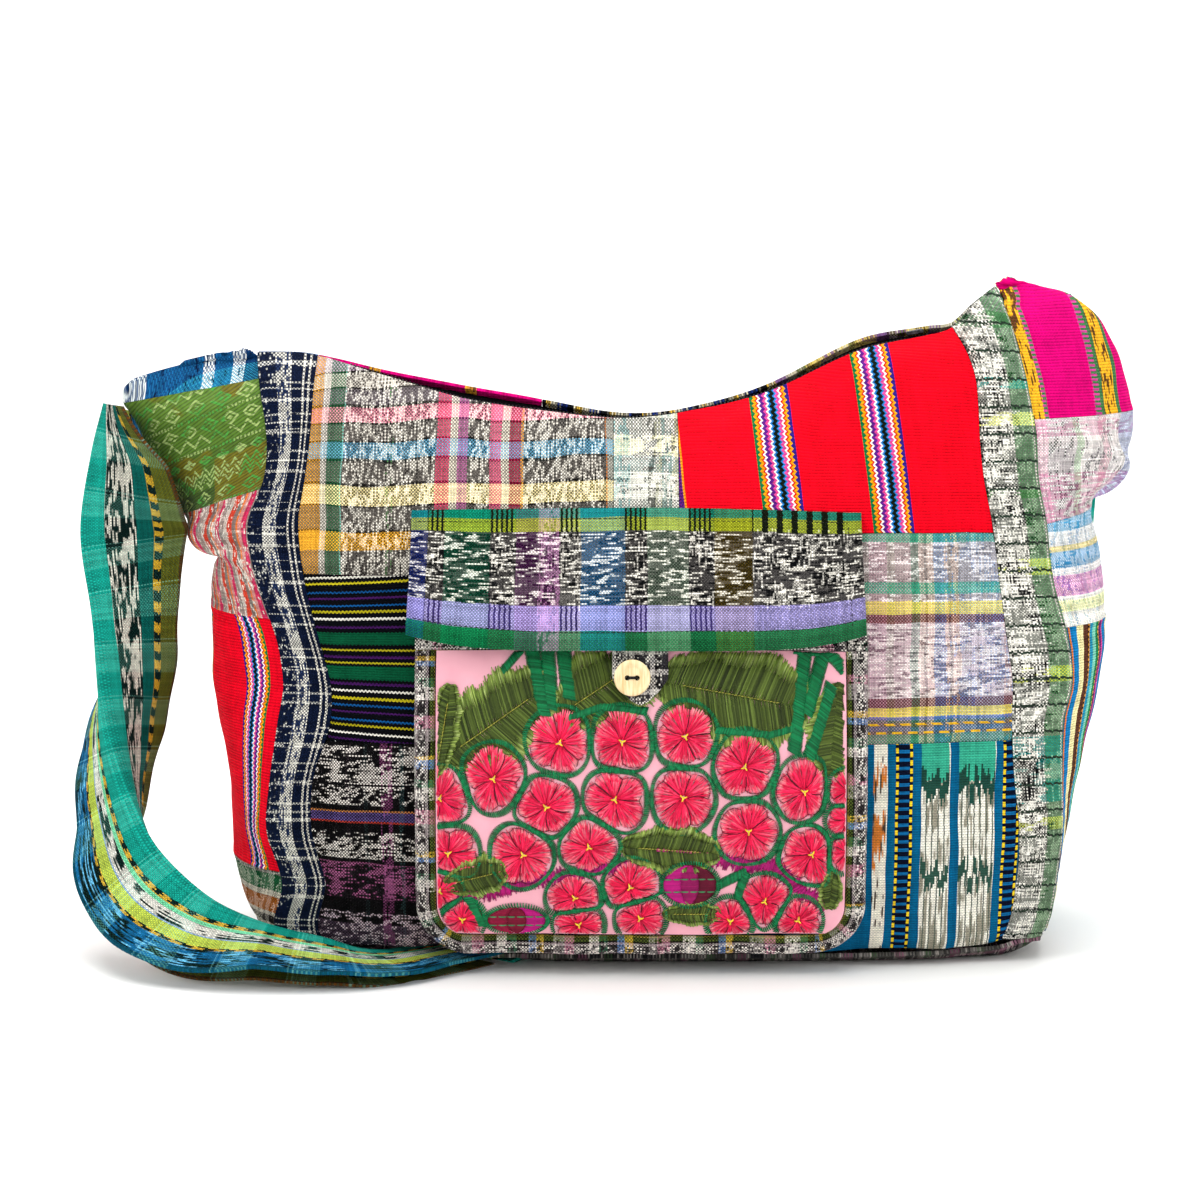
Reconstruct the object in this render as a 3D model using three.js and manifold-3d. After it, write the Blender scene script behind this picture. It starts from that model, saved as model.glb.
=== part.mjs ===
// A slouchy zip-top shoulder bag sewn from handwoven patches, standing on its base.
// Millimetres. X runs to the right across the front, Y to the back, Z up, origin under the base.

import * as THREE from 'three';
import Module from 'manifold-3d';
import { mergeVertices } from 'three/addons/utils/BufferGeometryUtils.js';

// Driving dimensions
const WALL = 2;
const GAP = 0.3;
const FOOT = 10;
const CORNER_LIFT = 4;
const RIM_WIDTH = 30;
const SEAM_INSET = 2;
const BOW = 2.6;
const STEP = 0.5;
const ROUNDING = { corner: 6, crown: 3, pocket: 4, sag: 4, turnUp: 2, flapDrop: 0.8 };
const GUSSET_MESH = { perRow: 1.4, perSide: 4, step: 0.02, rowGap: 0.012, splitGap: 0.03, thinning: 0.3 };
const ZIP = {
  left: -160, right: 142, halfGap: 4.6, endGap: 2.2, closing: 12, coil: 1.1, sink: 1.2, tape: 0.9,
};
const POCKET = {
  left: -121, right: 102, top: 172, bottom: 15, border: 10, hem: 8, corner: 25,
  depth: 13, bulge: 3, inset: 1.2, seat: 0.6,
};
const FLAP = { left: -125, right: 101, top: 231, ends: 171, middle: 162, wall: 3, rise: 23 };
const TAB = { left: -24, right: 4, top: 168, shoulder: 150, tip: 138, seat: 17, wall: 2, blunt: 0.12 };
const BUTTON = {
  x: -14, z: 150, radius: 9, wall: 4, seat: 19.6,
  dish: 6, dishDepth: 1, slope: 0.6, round: 1.1, hole: 1.3, spread: 2.4,
};
const STRAP = {
  wall: 2, seat: 0.15, lift: 6.8, plateau: 44, falloff: 24,
  x: -75, swing: 45, swingFrom: -10, swingRun: 60, swingPower: 1.5,
};

const table = (columns, rows) => {
  const names = columns.split(' ');
  return rows.map((row) => Object.fromEntries(row.map((value, i) => [names[i], value])));
};

// The seams between the front and the gussets, with the widths of the strips beside them
const SEAMS = table('z left leftStrip right rightStrip', [
  [0, -193, 23, 194, 20],
  [20, -197, 23, 200, 21],
  [42, -192, 22, 203, 21],
  [69, -199, 23, 205, 23],
  [97, -197, 22, 204, 25],
  [126, -193, 26, 204, 27],
  [145, -190, 24, 208, 31],
  [167, -193, 22, 206, 32],
  [200, -204, 25, 198, 28],
  [225, -208, 26, 195, 28],
  [248, -200, 21, 191, 28],
  [268, -199, 22, 190, 29],
  [296, -204, 28, 186, 26],
  [313, -208, 32, 182, 25],
  [345, -208, 32, 174, 25],
]);

// Height of the scooped top edge, and how much higher the back edge stands
const TOP_EDGE = table('x z backRise', [
  [-208, 309, 0],
  [-180, 308, 0],
  [-141, 297, 2],
  [-100, 285, 6],
  [-60, 279, 5],
  [-20, 275, 2],
  [12, 278, 1],
  [55, 288, 3],
  [104, 310, 5],
  [140, 318, 4],
  [152, 322, 2],
  [162, 333, 0],
  [176, 344, 0],
]);

// Half-depth of the bag at the seams and in the middle, by share of the height
const DEPTH = table('share seam middle', [
  [0, 54, 66],
  [0.05, 60, 74],
  [0.15, 66, 81],
  [0.35, 70, 86],
  [0.55, 66, 80],
  [0.75, 54, 61],
  [0.9, 38, 33],
  [0.96, 24, 17],
  [1, 0, 0],
]);

// Rows up each gusset: height at the seams, height and reach at its middle
const LEFT_GUSSET = table('seamZ middleZ reach', [
  [FOOT + CORNER_LIFT, FOOT + CORNER_LIFT, -209],
  [32, 32, -219],
  [58, 58, -222],
  [85, 85, -224],
  [118, 118, -228],
  [152, 152, -232],
  [178, 178, -233],
  [200, 198, -231],
  [212, 206, -229],
  [226, 214, -242],
  [243, 226, -245],
  [262, 245, -260],
  [282, 266, -269],
  [299, 282, -277],
  [305, 294, -273],
  [308, 303, -246],
  [309, 309, -214],
]);
const RIGHT_GUSSET = table('seamZ middleZ reach', [
  [FOOT + CORNER_LIFT, FOOT + CORNER_LIFT, 203],
  [32, 32, 207],
  [70, 70, 214],
  [99, 99, 220],
  [125, 125, 228],
  [152, 152, 232],
  [174, 174, 234],
  [203, 203, 230],
  [226, 230, 224],
  [242, 246, 238],
  [258, 262, 244],
  [278, 279, 245],
  [300, 299, 241],
  [320, 322, 230],
  [333, 336, 214],
  [341, 343, 195],
  [344, 346, 181],
]);

// Front and back patches: the lines at their sides and their heights, in millimetres
const FRONT_PATCHES = table('name left right low high across colour', [
  ['front_left_strip', 'leftSeam', 'leftStrip', FOOT, 'top', 2, 0x2b3a55],
  ['front_upper_plaid', 'leftStrip', -23, 201, 'top', 7, 0xb9909a],
  ['front_pale_plaid', -23, 10, 201, 'top', 3, 0xb7b8ab],
  ['front_red_stripe', 10, 'rightStrip', 222, 'top', 7, 0xd0121f],
  ['front_right_strip', 'rightStrip', 'rightSeam', FOOT, 'top', 2, 0x7c8570],
  ['front_dark_stripe', 'leftStrip', 2, 118, 201, 7, 0x1d2230],
  ['front_black_plaid', 'leftStrip', 2, FOOT, 118, 7, 0x3a3538],
  ['front_pastel_plaid', 10, 'rightStrip', 118, 222, 7, 0xb3a7a8],
  ['front_teal_ikat', 2, 'rightStrip', FOOT, 118, 7, 0x14708a],
]);
const BACK_PATCHES = table('name left right low high across colour', [
  ['back_left_strip', 'leftSeam', 'leftStrip', FOOT, 'top', 2, 0x35507a],
  ['back_upper_left', 'leftStrip', -60, 165, 'top', 6, 0xa91765],
  ['back_upper_mid', -60, 60, 165, 'top', 6, 0x27406e],
  ['back_upper_right', 60, 'rightStrip', 165, 'top', 6, 0xb59a4e],
  ['back_right_strip', 'rightStrip', 'rightSeam', FOOT, 'top', 2, 0x6f7a66],
  ['back_lower_left', 'leftStrip', 0, FOOT, 165, 6, 0x2f6b58],
  ['back_lower_right', 0, 'rightStrip', FOOT, 165, 6, 0x8c2f3c],
]);

// Gusset patches: first and last row of the gusset's table, and where they start and end across it
const LEFT_PATCHES = table('name first last from to colour', [
  ['gusset_left_foot', 0, 1.6, -1, 1, 0x7d7f72],
  ['gusset_left_red', 1.6, 6, -1, 1, 0xc0172a],
  ['gusset_left_coral', 6, 10, -1, 1, 0xd07a72],
  ['shoulder_left_brocade', 10, 13, -1, 0.4, 0x5e7a22],
  ['shoulder_left_plaid', 13, 16, -1, 1, 0x4b6f95],
  ['shoulder_left_back', 10, 13, 0.4, 1, 0x4b6f95],
]);
const RIGHT_PATCHES = table('name first last from to colour', [
  ['gusset_right_stripe', 0, 6, -1, 1, 0x2f7ea6],
  ['gusset_right_plaid', 6, 8, -1, 1, 0xb79fc0],
  ['gusset_right_pale', 8, 11, -1, 1, 0xc3b3bd],
  ['shoulder_right_magenta', 11, 16, -1, 1, 0xc4127f],
]);

// Heights that the front and back meshes share, so that neighbours meet along their seams
const LEVELS = [FOOT, 20, 31, 42, 55, 69, 83, 97, 118, 131, 145, 156, 167, 182, 201, 212, 222, 235, 248];
const BACK_LEVELS = [FOOT, 22, 42, 69, 97, 126, 145, 165, 195, 225, 248];
const CROWN_STEPS = 6;

// Strap: its fold line, where the fold points, the width of its two faces and the angle between them
const STRAP_COLUMNS = 'x y z foldX foldY foldZ width spread';
const STRAP_FALL = table(STRAP_COLUMNS, [
  [-284.5, 0, 281, -1, 0, 0, 30, 128],
  [-291, -4, 254, -1, -0.12, 0.1, 47, 84],
  [-296, -11, 216, -1, -0.32, 0, 52, 64],
  [-290, -24, 178, -0.8, -0.7, 0, 43, 60],
  [-286, -34, 147, -0.45, -0.9, 0, 41, 58],
  [-281, -43, 115, 0, -1, 0, 41, 56],
  [-271, -52, 83, 0.5, -0.85, 0.1, 42, 46],
  [-256, -64, 56, 0.8, -0.3, 0.42, 45, 30],
  [-229, -75, 34, 0.62, 0.58, 0.46, 48, 12],
  [-196, -78, 21, 0.1, 0.95, 0.27, 48, 6],
  [-171, -78, 14.5, -0.1, 0.97, 0.2, 47, 4],
  [-154, -73.5, 7.4, -0.32, 0.94, 0.05, 47, 3],
  [-138, -61, 3.6, -0.55, 0.83, -0.008, 47, 2],
  [-117, -40, 2.9, -0.86, 0.5, -0.012, 49, 2],
  [-103, -17, 2.7, -1, 0.1, -0.014, 50, 2],
]);
const STRAP_RISE = table(STRAP_COLUMNS, [
  [-112, -98, 2.6, 0.6, -0.9, -0.02, 47, 2.4],
  [-75, -65, 2.6, 0.85, -0.5, -0.018, 49, 2],
  [-53, -22, 2.6, 1, -0.1, -0.018, 50, 2],
  [-49, 22, 2.6, 1, 0, -0.018, 50, 2],
  [-46, 62, 2.6, 1, -0.2, -0.018, 50, 2],
  [-26, 86, 2.7, 0.5, -1, -0.05, 50, 5],
  [20, 92, 3, 0, -1, -0.1, 50, 11],
  [90, 93, 3.4, 0, -1, -0.16, 50, 18],
  [152, 95, 8, 0.3, -1, -0.2, 50, 26],
  [200, 101, 36, 0.9, -0.6, -0.1, 48, 38],
  [227, 104, 96, 1, -0.2, 0, 46, 46],
  [236, 100, 168, 1, 0, 0, 44, 46],
  [239, 86, 238, 1, 0, 0, 42, 42],
  [236, 66, 288, 1, 0, 0.1, 38, 34],
  [227, 47, 317, 1, 0.1, 0.3, 32, 26],
  [215, 32, 335, 1, 0.1, 0.5, 24, 22],
]);
const STRAP_LENGTHS = table('name rows first last colour', [
  ['strap_left', STRAP_FALL, 0, 13, 0x4fa39a],
  ['strap_base', STRAP_RISE, 1.02, 5, 0x4a6f7c],
  ['strap_right', STRAP_RISE, 5, 15, 0x3f8f8a],
]);

const clamp = THREE.MathUtils.clamp;
const lerp = THREE.MathUtils.lerp;
const ease = (t) => THREE.MathUtils.smoothstep(t, 0, 1);

// A smooth curve through one column of a table, level past its ends
function through(rows, along, value) {
  const xs = rows.map((row, i) => (along === 'row' ? i : row[along]));
  const ys = rows.map((row) => row[value]);
  const last = xs.length - 1;
  const slope = (i) => {
    const before = Math.max(i - 1, 0);
    const after = Math.min(i + 1, last);
    return (ys[after] - ys[before]) / (xs[after] - xs[before]);
  };
  return (x) => {
    let i = 0;
    while (i < last - 1 && x > xs[i + 1]) i += 1;
    const span = xs[i + 1] - xs[i];
    const t = clamp((x - xs[i]) / span, 0, 1);
    const rise = t * t * (3 - 2 * t);
    const leave = t * (1 - t) * (1 - t) * span;
    const arrive = t * t * (t - 1) * span;
    return lerp(ys[i], ys[i + 1], rise) + leave * slope(i) + arrive * slope(i + 1);
  };
}

const lines = {
  leftSeam: through(SEAMS, 'z', 'left'),
  rightSeam: through(SEAMS, 'z', 'right'),
};
const leftStripWidth = through(SEAMS, 'z', 'leftStrip');
const rightStripWidth = through(SEAMS, 'z', 'rightStrip');
lines.leftStrip = (z) => lines.leftSeam(z) + leftStripWidth(z);
lines.rightStrip = (z) => lines.rightSeam(z) - rightStripWidth(z);

const topEdge = through(TOP_EDGE, 'x', 'z');
const backRise = through(TOP_EDGE, 'x', 'backRise');
const seamDepth = through(DEPTH, 'share', 'seam');
const middleDepth = through(DEPTH, 'share', 'middle');

// Half the gap between the front and back top edges: wide at the zip, sewn shut beside it
function halfGap(x) {
  const past = Math.max(ZIP.left - x, x - ZIP.right, 0);
  return lerp(ZIP.halfGap, ZIP.endGap, ease(past / ZIP.closing));
}

// Share across a panel, from the left seam to the right seam
const shareAcross = (x, z) => (x - lines.leftSeam(z)) / (lines.rightSeam(z) - lines.leftSeam(z));

const footHeight = (x) => FOOT + CORNER_LIFT * Math.abs(2 * shareAcross(x, FOOT) - 1) ** ROUNDING.corner;

function panelDepth(x, z, top) {
  const crown = 1 - Math.abs(2 * clamp(shareAcross(x, z), 0, 1) - 1) ** ROUNDING.crown;
  const share = clamp(z / top, 0, 1);
  return halfGap(x) + lerp(seamDepth(share), middleDepth(share), crown);
}

const frontPoint = (x, z) => new THREE.Vector3(x, -panelDepth(x, z, topEdge(x)), z);
const backPoint = (x, z) => new THREE.Vector3(x, panelDepth(x, z, topEdge(x) + backRise(x)), z);

// Outward unit normal of a surface given by two parameters
function normalOf(surface, u, v, step, outward) {
  const alongU = surface(u + step, v).sub(surface(u - step, v));
  const alongV = surface(u, v + step).sub(surface(u, v - step));
  return alongU.cross(alongV).normalize().multiplyScalar(outward);
}

// A point off the front along its normal: the pocket stands out from it, the gussets tuck in behind it
function onFront(x, z, standOff) {
  return frontPoint(x, z).addScaledVector(normalOf(frontPoint, x, z, STEP, 1), standOff);
}

const finish = (colour, roughness = 0.9) =>
  new THREE.MeshStandardMaterial({ color: colour, roughness, metalness: 0 });

// A closed wall between two matching grids of points, the outer one first
function wallGeometry(outer, inner) {
  const rows = outer.length;
  const columns = outer[0].length;
  const points = [...outer.flat(), ...inner.flat()];
  const triangles = [];
  const quad = (a, b, c, d) => triangles.push(a, b, c, a, c, d);
  const out = (i, j) => i * columns + j;
  const inn = (i, j) => rows * columns + i * columns + j;
  for (let i = 0; i < rows - 1; i += 1) {
    for (let j = 0; j < columns - 1; j += 1) {
      quad(out(i, j), out(i, j + 1), out(i + 1, j + 1), out(i + 1, j));
      quad(inn(i, j), inn(i + 1, j), inn(i + 1, j + 1), inn(i, j + 1));
    }
  }
  for (let j = 0; j < columns - 1; j += 1) {
    quad(out(0, j), inn(0, j), inn(0, j + 1), out(0, j + 1));
    quad(out(rows - 1, j), out(rows - 1, j + 1), inn(rows - 1, j + 1), inn(rows - 1, j));
  }
  for (let i = 0; i < rows - 1; i += 1) {
    quad(out(i, 0), out(i + 1, 0), inn(i + 1, 0), inn(i, 0));
    quad(out(i, columns - 1), inn(i, columns - 1), inn(i + 1, columns - 1), out(i + 1, columns - 1));
  }
  const geometry = new THREE.BufferGeometry().setFromPoints(points);
  geometry.setIndex(triangles);
  return geometry;
}

// The signed volume tells whether the faces point outwards
function facingOut(geometry) {
  const position = geometry.getAttribute('position');
  const index = geometry.getIndex().array;
  const corner = [new THREE.Vector3(), new THREE.Vector3(), new THREE.Vector3()];
  let volume = 0;
  for (let i = 0; i < index.length; i += 3) {
    corner.forEach((point, k) => point.fromBufferAttribute(position, index[i + k]));
    volume += corner[0].dot(corner[1].clone().cross(corner[2]));
  }
  if (volume < 0) {
    for (let i = 0; i < index.length; i += 3) {
      [index[i + 1], index[i + 2]] = [index[i + 2], index[i + 1]];
    }
  }
  geometry.computeVertexNormals();
  return geometry;
}

function piece(name, geometry, material) {
  const mesh = new THREE.Mesh(facingOut(geometry), material);
  mesh.name = name;
  return mesh;
}

const spaced = (from, to, cells) => Array.from({ length: cells + 1 }, (_, i) => lerp(from, to, i / cells));

const bag = new THREE.Group();

// Front and back patches
function panelPatch(patch, surface, levels, top, outward) {
  const lineAt = (line, z) => (typeof line === 'string' ? lines[line](z) : line);
  const high = patch.high === 'top' ? levels.at(-1) : patch.high;
  const heights = levels.filter((z) => z >= patch.low && z <= high);
  const pointsAt = (heightOf, lineHeight) => {
    const left = lineAt(patch.left, lineHeight(patch.left)) + GAP / 2;
    const right = lineAt(patch.right, lineHeight(patch.right)) - GAP / 2;
    return spaced(left, right, patch.across).map((x) => [x, heightOf(x)]);
  };
  const grid = heights.map((z) => {
    const nudge = z === patch.low ? GAP / 2 : z === patch.high ? -GAP / 2 : 0;
    return pointsAt((x) => (z === FOOT ? footHeight(x) : z + nudge), () => z);
  });
  if (patch.high === 'top') {
    for (const t of spaced(0, 1, CROWN_STEPS).slice(1)) {
      const heightOf = (x) => lerp(high, top(x) - STEP, t);
      grid.push(pointsAt(heightOf, (line) => heightOf(lineAt(line, high))));
    }
  }
  const outer = grid.map((row) => row.map(([x, z]) => surface(x, z)));
  const inner = grid.map((row) =>
    row.map(([x, z]) => surface(x, z).addScaledVector(normalOf(surface, x, z, STEP, outward), -WALL)));
  bag.add(piece(patch.name, wallGeometry(outer, inner), finish(patch.colour)));
}

const backTop = (x) => topEdge(x) + backRise(x);
FRONT_PATCHES.forEach((patch) => panelPatch(patch, frontPoint, LEVELS, topEdge, 1));
BACK_PATCHES.forEach((patch) => panelPatch(patch, backPoint, BACK_LEVELS, backTop, -1));

// Gussets, bowed out between the front and back seams
function gussetSurface(rows, seam) {
  const seamZ = through(rows, 'row', 'seamZ');
  const middleZ = through(rows, 'row', 'middleZ');
  const reach = through(rows, 'row', 'reach');
  return (row, across) => {
    const z = seamZ(row);
    const x = seam(z);
    const bow = 1 - Math.abs(across) ** BOW;
    const edge = onFront(x, z, -WALL - SEAM_INSET);
    const depth = Math.max(-edge.y, GAP);
    return new THREE.Vector3(lerp(edge.x, reach(row), bow), across * depth, lerp(edge.z, middleZ(row), bow));
  };
}

function gussetPatch(patch, surface, outward) {
  const { perRow, perSide, step, rowGap, splitGap, thinning } = GUSSET_MESH;
  const cells = Math.ceil((patch.last - patch.first) * perRow);
  const columns = Math.round((patch.to - patch.from) * perSide);
  const ups = spaced(patch.first + rowGap, patch.last - rowGap, cells);
  const startGap = patch.from > -1 ? splitGap : 0;
  const endGap = patch.to < 1 ? splitGap : 0;
  const acrosses = spaced(patch.from + startGap, patch.to - endGap, columns);
  const outer = ups.map((row) => acrosses.map((across) => surface(row, across)));
  const inner = ups.map((row) => acrosses.map((across) => {
    const near = clamp(row, step, patch.last);
    const middle = clamp(across, step - 1, 1 - step);
    const wall = Math.min(WALL, thinning * Math.abs(surface(row, 1).y));
    return surface(row, across).addScaledVector(normalOf(surface, near, middle, step, outward), -wall);
  }));
  bag.add(piece(patch.name, wallGeometry(outer, inner), finish(patch.colour)));
}

const leftGusset = gussetSurface(LEFT_GUSSET, lines.leftSeam);
const rightGusset = gussetSurface(RIGHT_GUSSET, lines.rightSeam);
LEFT_PATCHES.forEach((patch) => gussetPatch(patch, leftGusset, 1));
RIGHT_PATCHES.forEach((patch) => gussetPatch(patch, rightGusset, -1));

// Base panel: flat underneath, turned up at its rim and arched over the strap
function basePoint(across, along) {
  const g = 2 * along - 1;
  const left = leftGusset(0, g).x;
  const right = rightGusset(0, g).x;
  const x = lerp(left, right, across);
  const seamX = lerp(lines.leftSeam(FOOT), lines.rightSeam(FOOT), across);
  const foot = footHeight(seamX);
  const y = g * panelDepth(seamX, foot, topEdge(seamX));
  const edgeX = (right - left) * Math.min(across, 1 - across);
  const edgeY = 2 * Math.abs(y / (g || 1)) * Math.min(along, 1 - along);
  const rim = Math.hypot(Math.max(1 - edgeX / RIM_WIDTH, 0), Math.max(1 - edgeY / RIM_WIDTH, 0));
  const turnUp = (foot - WALL - GAP) * Math.min(rim, 1) ** ROUNDING.turnUp;
  const forward = clamp((STRAP.swingFrom - y) / STRAP.swingRun, 0, 1);
  const strapX = STRAP.x - STRAP.swing * forward ** STRAP.swingPower;
  const arch = STRAP.lift * ease(1 - clamp((Math.abs(x - strapX) - STRAP.plateau) / STRAP.falloff, 0, 1));
  return new THREE.Vector3(x, y, Math.max(turnUp, arch));
}

function basePanel() {
  const cells = { across: 20, along: 9 };
  const rows = spaced(0, 1, cells.along).map((along) =>
    spaced(0, 1, cells.across).map((across) => basePoint(across, along)));
  const raised = rows.map((row) => row.map((point) => point.clone().setZ(point.z + WALL)));
  return piece('bottom_panel', wallGeometry(rows, raised), finish(0x3c3a42));
}
bag.add(basePanel());

// Zip: two tapes and a coil along the scooped edge, with a plain slider at its right end
function zipTape(name, side) {
  const rows = spaced(ZIP.left, ZIP.right, 14).map((x) => {
    const panel = side < 0 ? frontPoint : backPoint;
    const edge = (side < 0 ? topEdge(x) : backTop(x)) - 2 * ZIP.sink;
    const sewn = panel(x, edge).addScaledVector(normalOf(panel, x, edge, STEP, -side), -WALL - 2 * GAP);
    const toothed = new THREE.Vector3(x, side * (ZIP.coil + GAP), topEdge(x) - ZIP.sink);
    return [sewn, toothed];
  });
  const lowered = rows.map((row) => row.map((point) => point.clone().setZ(point.z - ZIP.tape)));
  return piece(name, wallGeometry(rows, lowered), finish(0x15151a, 0.8));
}

function extrudeRound(points, radius, sides, steps) {
  const shape = new THREE.Shape();
  shape.absarc(0, 0, radius, 0, 2 * Math.PI);
  const path = new THREE.CatmullRomCurve3(points);
  const options = { steps, curveSegments: sides, bevelEnabled: false, extrudePath: path };
  return merged(new THREE.ExtrudeGeometry(shape, options));
}

function merged(geometry) {
  geometry.deleteAttribute('normal');
  geometry.deleteAttribute('uv');
  return mergeVertices(geometry, 1e-3);
}

const coilPoint = (x) => new THREE.Vector3(x, 0, topEdge(x) - ZIP.sink);
bag.add(zipTape('zip_tape_front', -1));
bag.add(zipTape('zip_tape_back', 1));
const coilPath = spaced(ZIP.left, ZIP.right, 12).map(coilPoint);
bag.add(piece('zip_coil', extrudeRound(coilPath, ZIP.coil, 8, 22), finish(0x121215, 0.5)));

function zipSlider() {
  const size = { long: 9, wide: 3.2, tall: 2.4 };
  const x = ZIP.right - size.long;
  const seat = coilPoint(x);
  const ahead = coilPoint(x + 1);
  const shape = new THREE.BoxGeometry(size.long, size.wide, size.tall);
  shape.rotateY(-Math.atan2(ahead.z - seat.z, ahead.x - seat.x));
  shape.translate(seat.x, 0, seat.z + ZIP.coil + 3 * GAP + size.tall / 2);
  return piece('zip_slider', merged(shape), finish(0x1b1b1e, 0.4));
}
bag.add(zipSlider());

// Inner outline of the pocket's border: narrower towards the rounded lower corners
function pocketInset(z) {
  const radius = POCKET.corner - POCKET.border;
  const below = clamp(POCKET.bottom + POCKET.corner - z, 0, radius);
  return POCKET.border + radius - Math.sqrt(radius * radius - below * below);
}

function standOffGrid(grid, standOff, wall) {
  const outer = grid.map((row) => row.map(([x, z]) => onFront(x, z, standOff(x, z))));
  const inner = grid.map((row) => row.map(([x, z]) => onFront(x, z, standOff(x, z) - wall)));
  return wallGeometry(outer, inner);
}

const pocketMiddle = (POCKET.left + POCKET.right) / 2;
const pocketHalf = (POCKET.right - POCKET.left) / 2;

function panelStandOff(x, z) {
  const side = (x - pocketMiddle) / pocketHalf;
  const low = POCKET.bottom + POCKET.border;
  const rise = clamp((z - low) / (POCKET.top - POCKET.hem - low), 0, 1);
  const rounded = (share) => 1 - share ** ROUNDING.pocket;
  return POCKET.depth + POCKET.bulge * rounded(side) * rounded(2 * rise - 1);
}

function pocketPanel() {
  const low = POCKET.bottom + POCKET.border + POCKET.inset;
  const high = POCKET.top - POCKET.hem - GAP;
  const heights = [low, low + 4, low + 9, low + 15, ...spaced(low + 30, high, 6)];
  const grid = heights.map((z) => {
    const inset = pocketInset(z) + POCKET.inset;
    return spaced(POCKET.left + inset, POCKET.right - inset, 14).map((x) => [x, z]);
  });
  return piece('pocket_panel', standOffGrid(grid, panelStandOff, WALL), finish(0xe58aa0, 0.6));
}
bag.add(pocketPanel());

// Pocket border: an L section that runs from the front out to the pocket's face
function borderSection(outlinePoint, inward) {
  const { depth: face, seat, border } = POCKET;
  const section = [
    [0, seat], [0, face - WALL], [WALL, face], [border, face],
    [border, face - WALL], [1.5 * WALL, face - WALL], [WALL, face - 1.5 * WALL], [WALL, seat],
  ];
  return section.map(([depth, standOff]) => {
    const x = outlinePoint.x + inward.x * depth;
    const z = outlinePoint.y + inward.y * depth;
    return onFront(x, z, standOff);
  });
}

// A tube through matching sections, each listing its outer points and then its inner ones back again.
// All its walls split their quads along matching diagonals, so a twisted folded band keeps its thickness.
function closedSweep(sections) {
  const around = sections[0].length;
  const half = around / 2;
  const points = sections.flat();
  const lastStart = points.length - around;
  const triangles = [];
  const quad = (a, b, c, d) => triangles.push(a, b, c, a, c, d);
  for (let start = 0; start < lastStart; start += around) {
    for (let j = 0; j < around; j += 1) {
      const next = (j + 1) % around;
      const corners = [start + j, start + next, start + next + around, start + j + around];
      if (j % half >= (half - 1) / 2) corners.push(corners.shift());
      quad(...corners);
    }
  }
  for (let j = 0; j < half - 1; j += 1) {
    const across = around - 1 - j;
    quad(j, across, across - 1, j + 1);
    quad(lastStart + j, lastStart + j + 1, lastStart + across - 1, lastStart + across);
  }
  const geometry = new THREE.BufferGeometry().setFromPoints(points);
  geometry.setIndex(triangles);
  return geometry;
}

function borderPiece(name, stations) {
  const sections = stations.map(({ point, inward }) => borderSection(point, inward));
  return piece(name, closedSweep(sections), finish(0x6e6868));
}

function sideStations(x, inwardX) {
  const inward = new THREE.Vector2(inwardX, 0);
  const low = POCKET.bottom + POCKET.corner + GAP;
  const high = POCKET.top - POCKET.hem - GAP;
  return spaced(low, high, 6).map((z) => ({ point: new THREE.Vector2(x, z), inward }));
}

function bottomStations() {
  const { left, right, bottom, corner } = POCKET;
  const stations = [];
  const arc = (centreX, from, to) => spaced(from, to, 5).forEach((angle) => {
    const inward = new THREE.Vector2(-Math.cos(angle), -Math.sin(angle));
    const centre = new THREE.Vector2(centreX, bottom + corner);
    stations.push({ point: centre.addScaledVector(inward, -corner), inward });
  });
  arc(left + corner, Math.PI, 1.5 * Math.PI);
  const up = new THREE.Vector2(0, 1);
  for (const x of spaced(left + corner, right - corner, 8).slice(1, -1)) {
    stations.push({ point: new THREE.Vector2(x, bottom), inward: up });
  }
  arc(right - corner, 1.5 * Math.PI, 2 * Math.PI);
  return stations;
}
bag.add(borderPiece('pocket_border_left', sideStations(POCKET.left, 1)));
bag.add(borderPiece('pocket_border_right', sideStations(POCKET.right, -1)));
bag.add(borderPiece('pocket_border_bottom', bottomStations()));

function pocketHem() {
  const heights = spaced(POCKET.top - POCKET.hem, POCKET.top, 2);
  const grid = heights.map((z) => spaced(POCKET.left, POCKET.right, 14).map((x) => [x, z]));
  return piece('pocket_hem', standOffGrid(grid, panelStandOff, WALL), finish(0x55544f));
}
bag.add(pocketHem());

// Flap: sewn along its top, standing off further towards its lower edge, which sags in the middle
function flapGrid() {
  const columns = spaced(0, 1, 14);
  return spaced(0, 1, 7).map((down) => columns.map((across) => {
    const sag = 1 - (2 * across - 1) ** ROUNDING.sag;
    const low = lerp(FLAP.ends, FLAP.middle, sag);
    return [lerp(FLAP.left, FLAP.right, across), lerp(FLAP.top, low, down)];
  }));
}

function flapStandOff(x, z) {
  const down = clamp((FLAP.top - z) / (FLAP.top - FLAP.middle), 0, 1);
  return FLAP.wall + GAP + (FLAP.rise - FLAP.wall) * ease(down ** ROUNDING.flapDrop);
}
bag.add(piece('pocket_flap', standOffGrid(flapGrid(), flapStandOff, FLAP.wall), finish(0x77766d)));

// Tab: a pointed strip that hangs from under the flap
function pocketTab() {
  const middle = (TAB.left + TAB.right) / 2;
  const heights = [...spaced(TAB.top, TAB.shoulder, 2), ...spaced(TAB.shoulder, TAB.tip, 2).slice(1)];
  const grid = heights.map((z) => {
    const taper = clamp((z - TAB.tip) / (TAB.shoulder - TAB.tip), TAB.blunt, 1);
    const half = ((TAB.right - TAB.left) / 2) * taper;
    return spaced(middle - half, middle + half, 4).map((x) => [x, z]);
  });
  return piece('pocket_tab', standOffGrid(grid, () => TAB.seat + TAB.wall, TAB.wall), finish(0x5b5a58));
}
bag.add(pocketTab());

// Button: a turned disc with a dished face and two holes, square to the pocket
const wasm = await Module();
wasm.setup();

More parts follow.
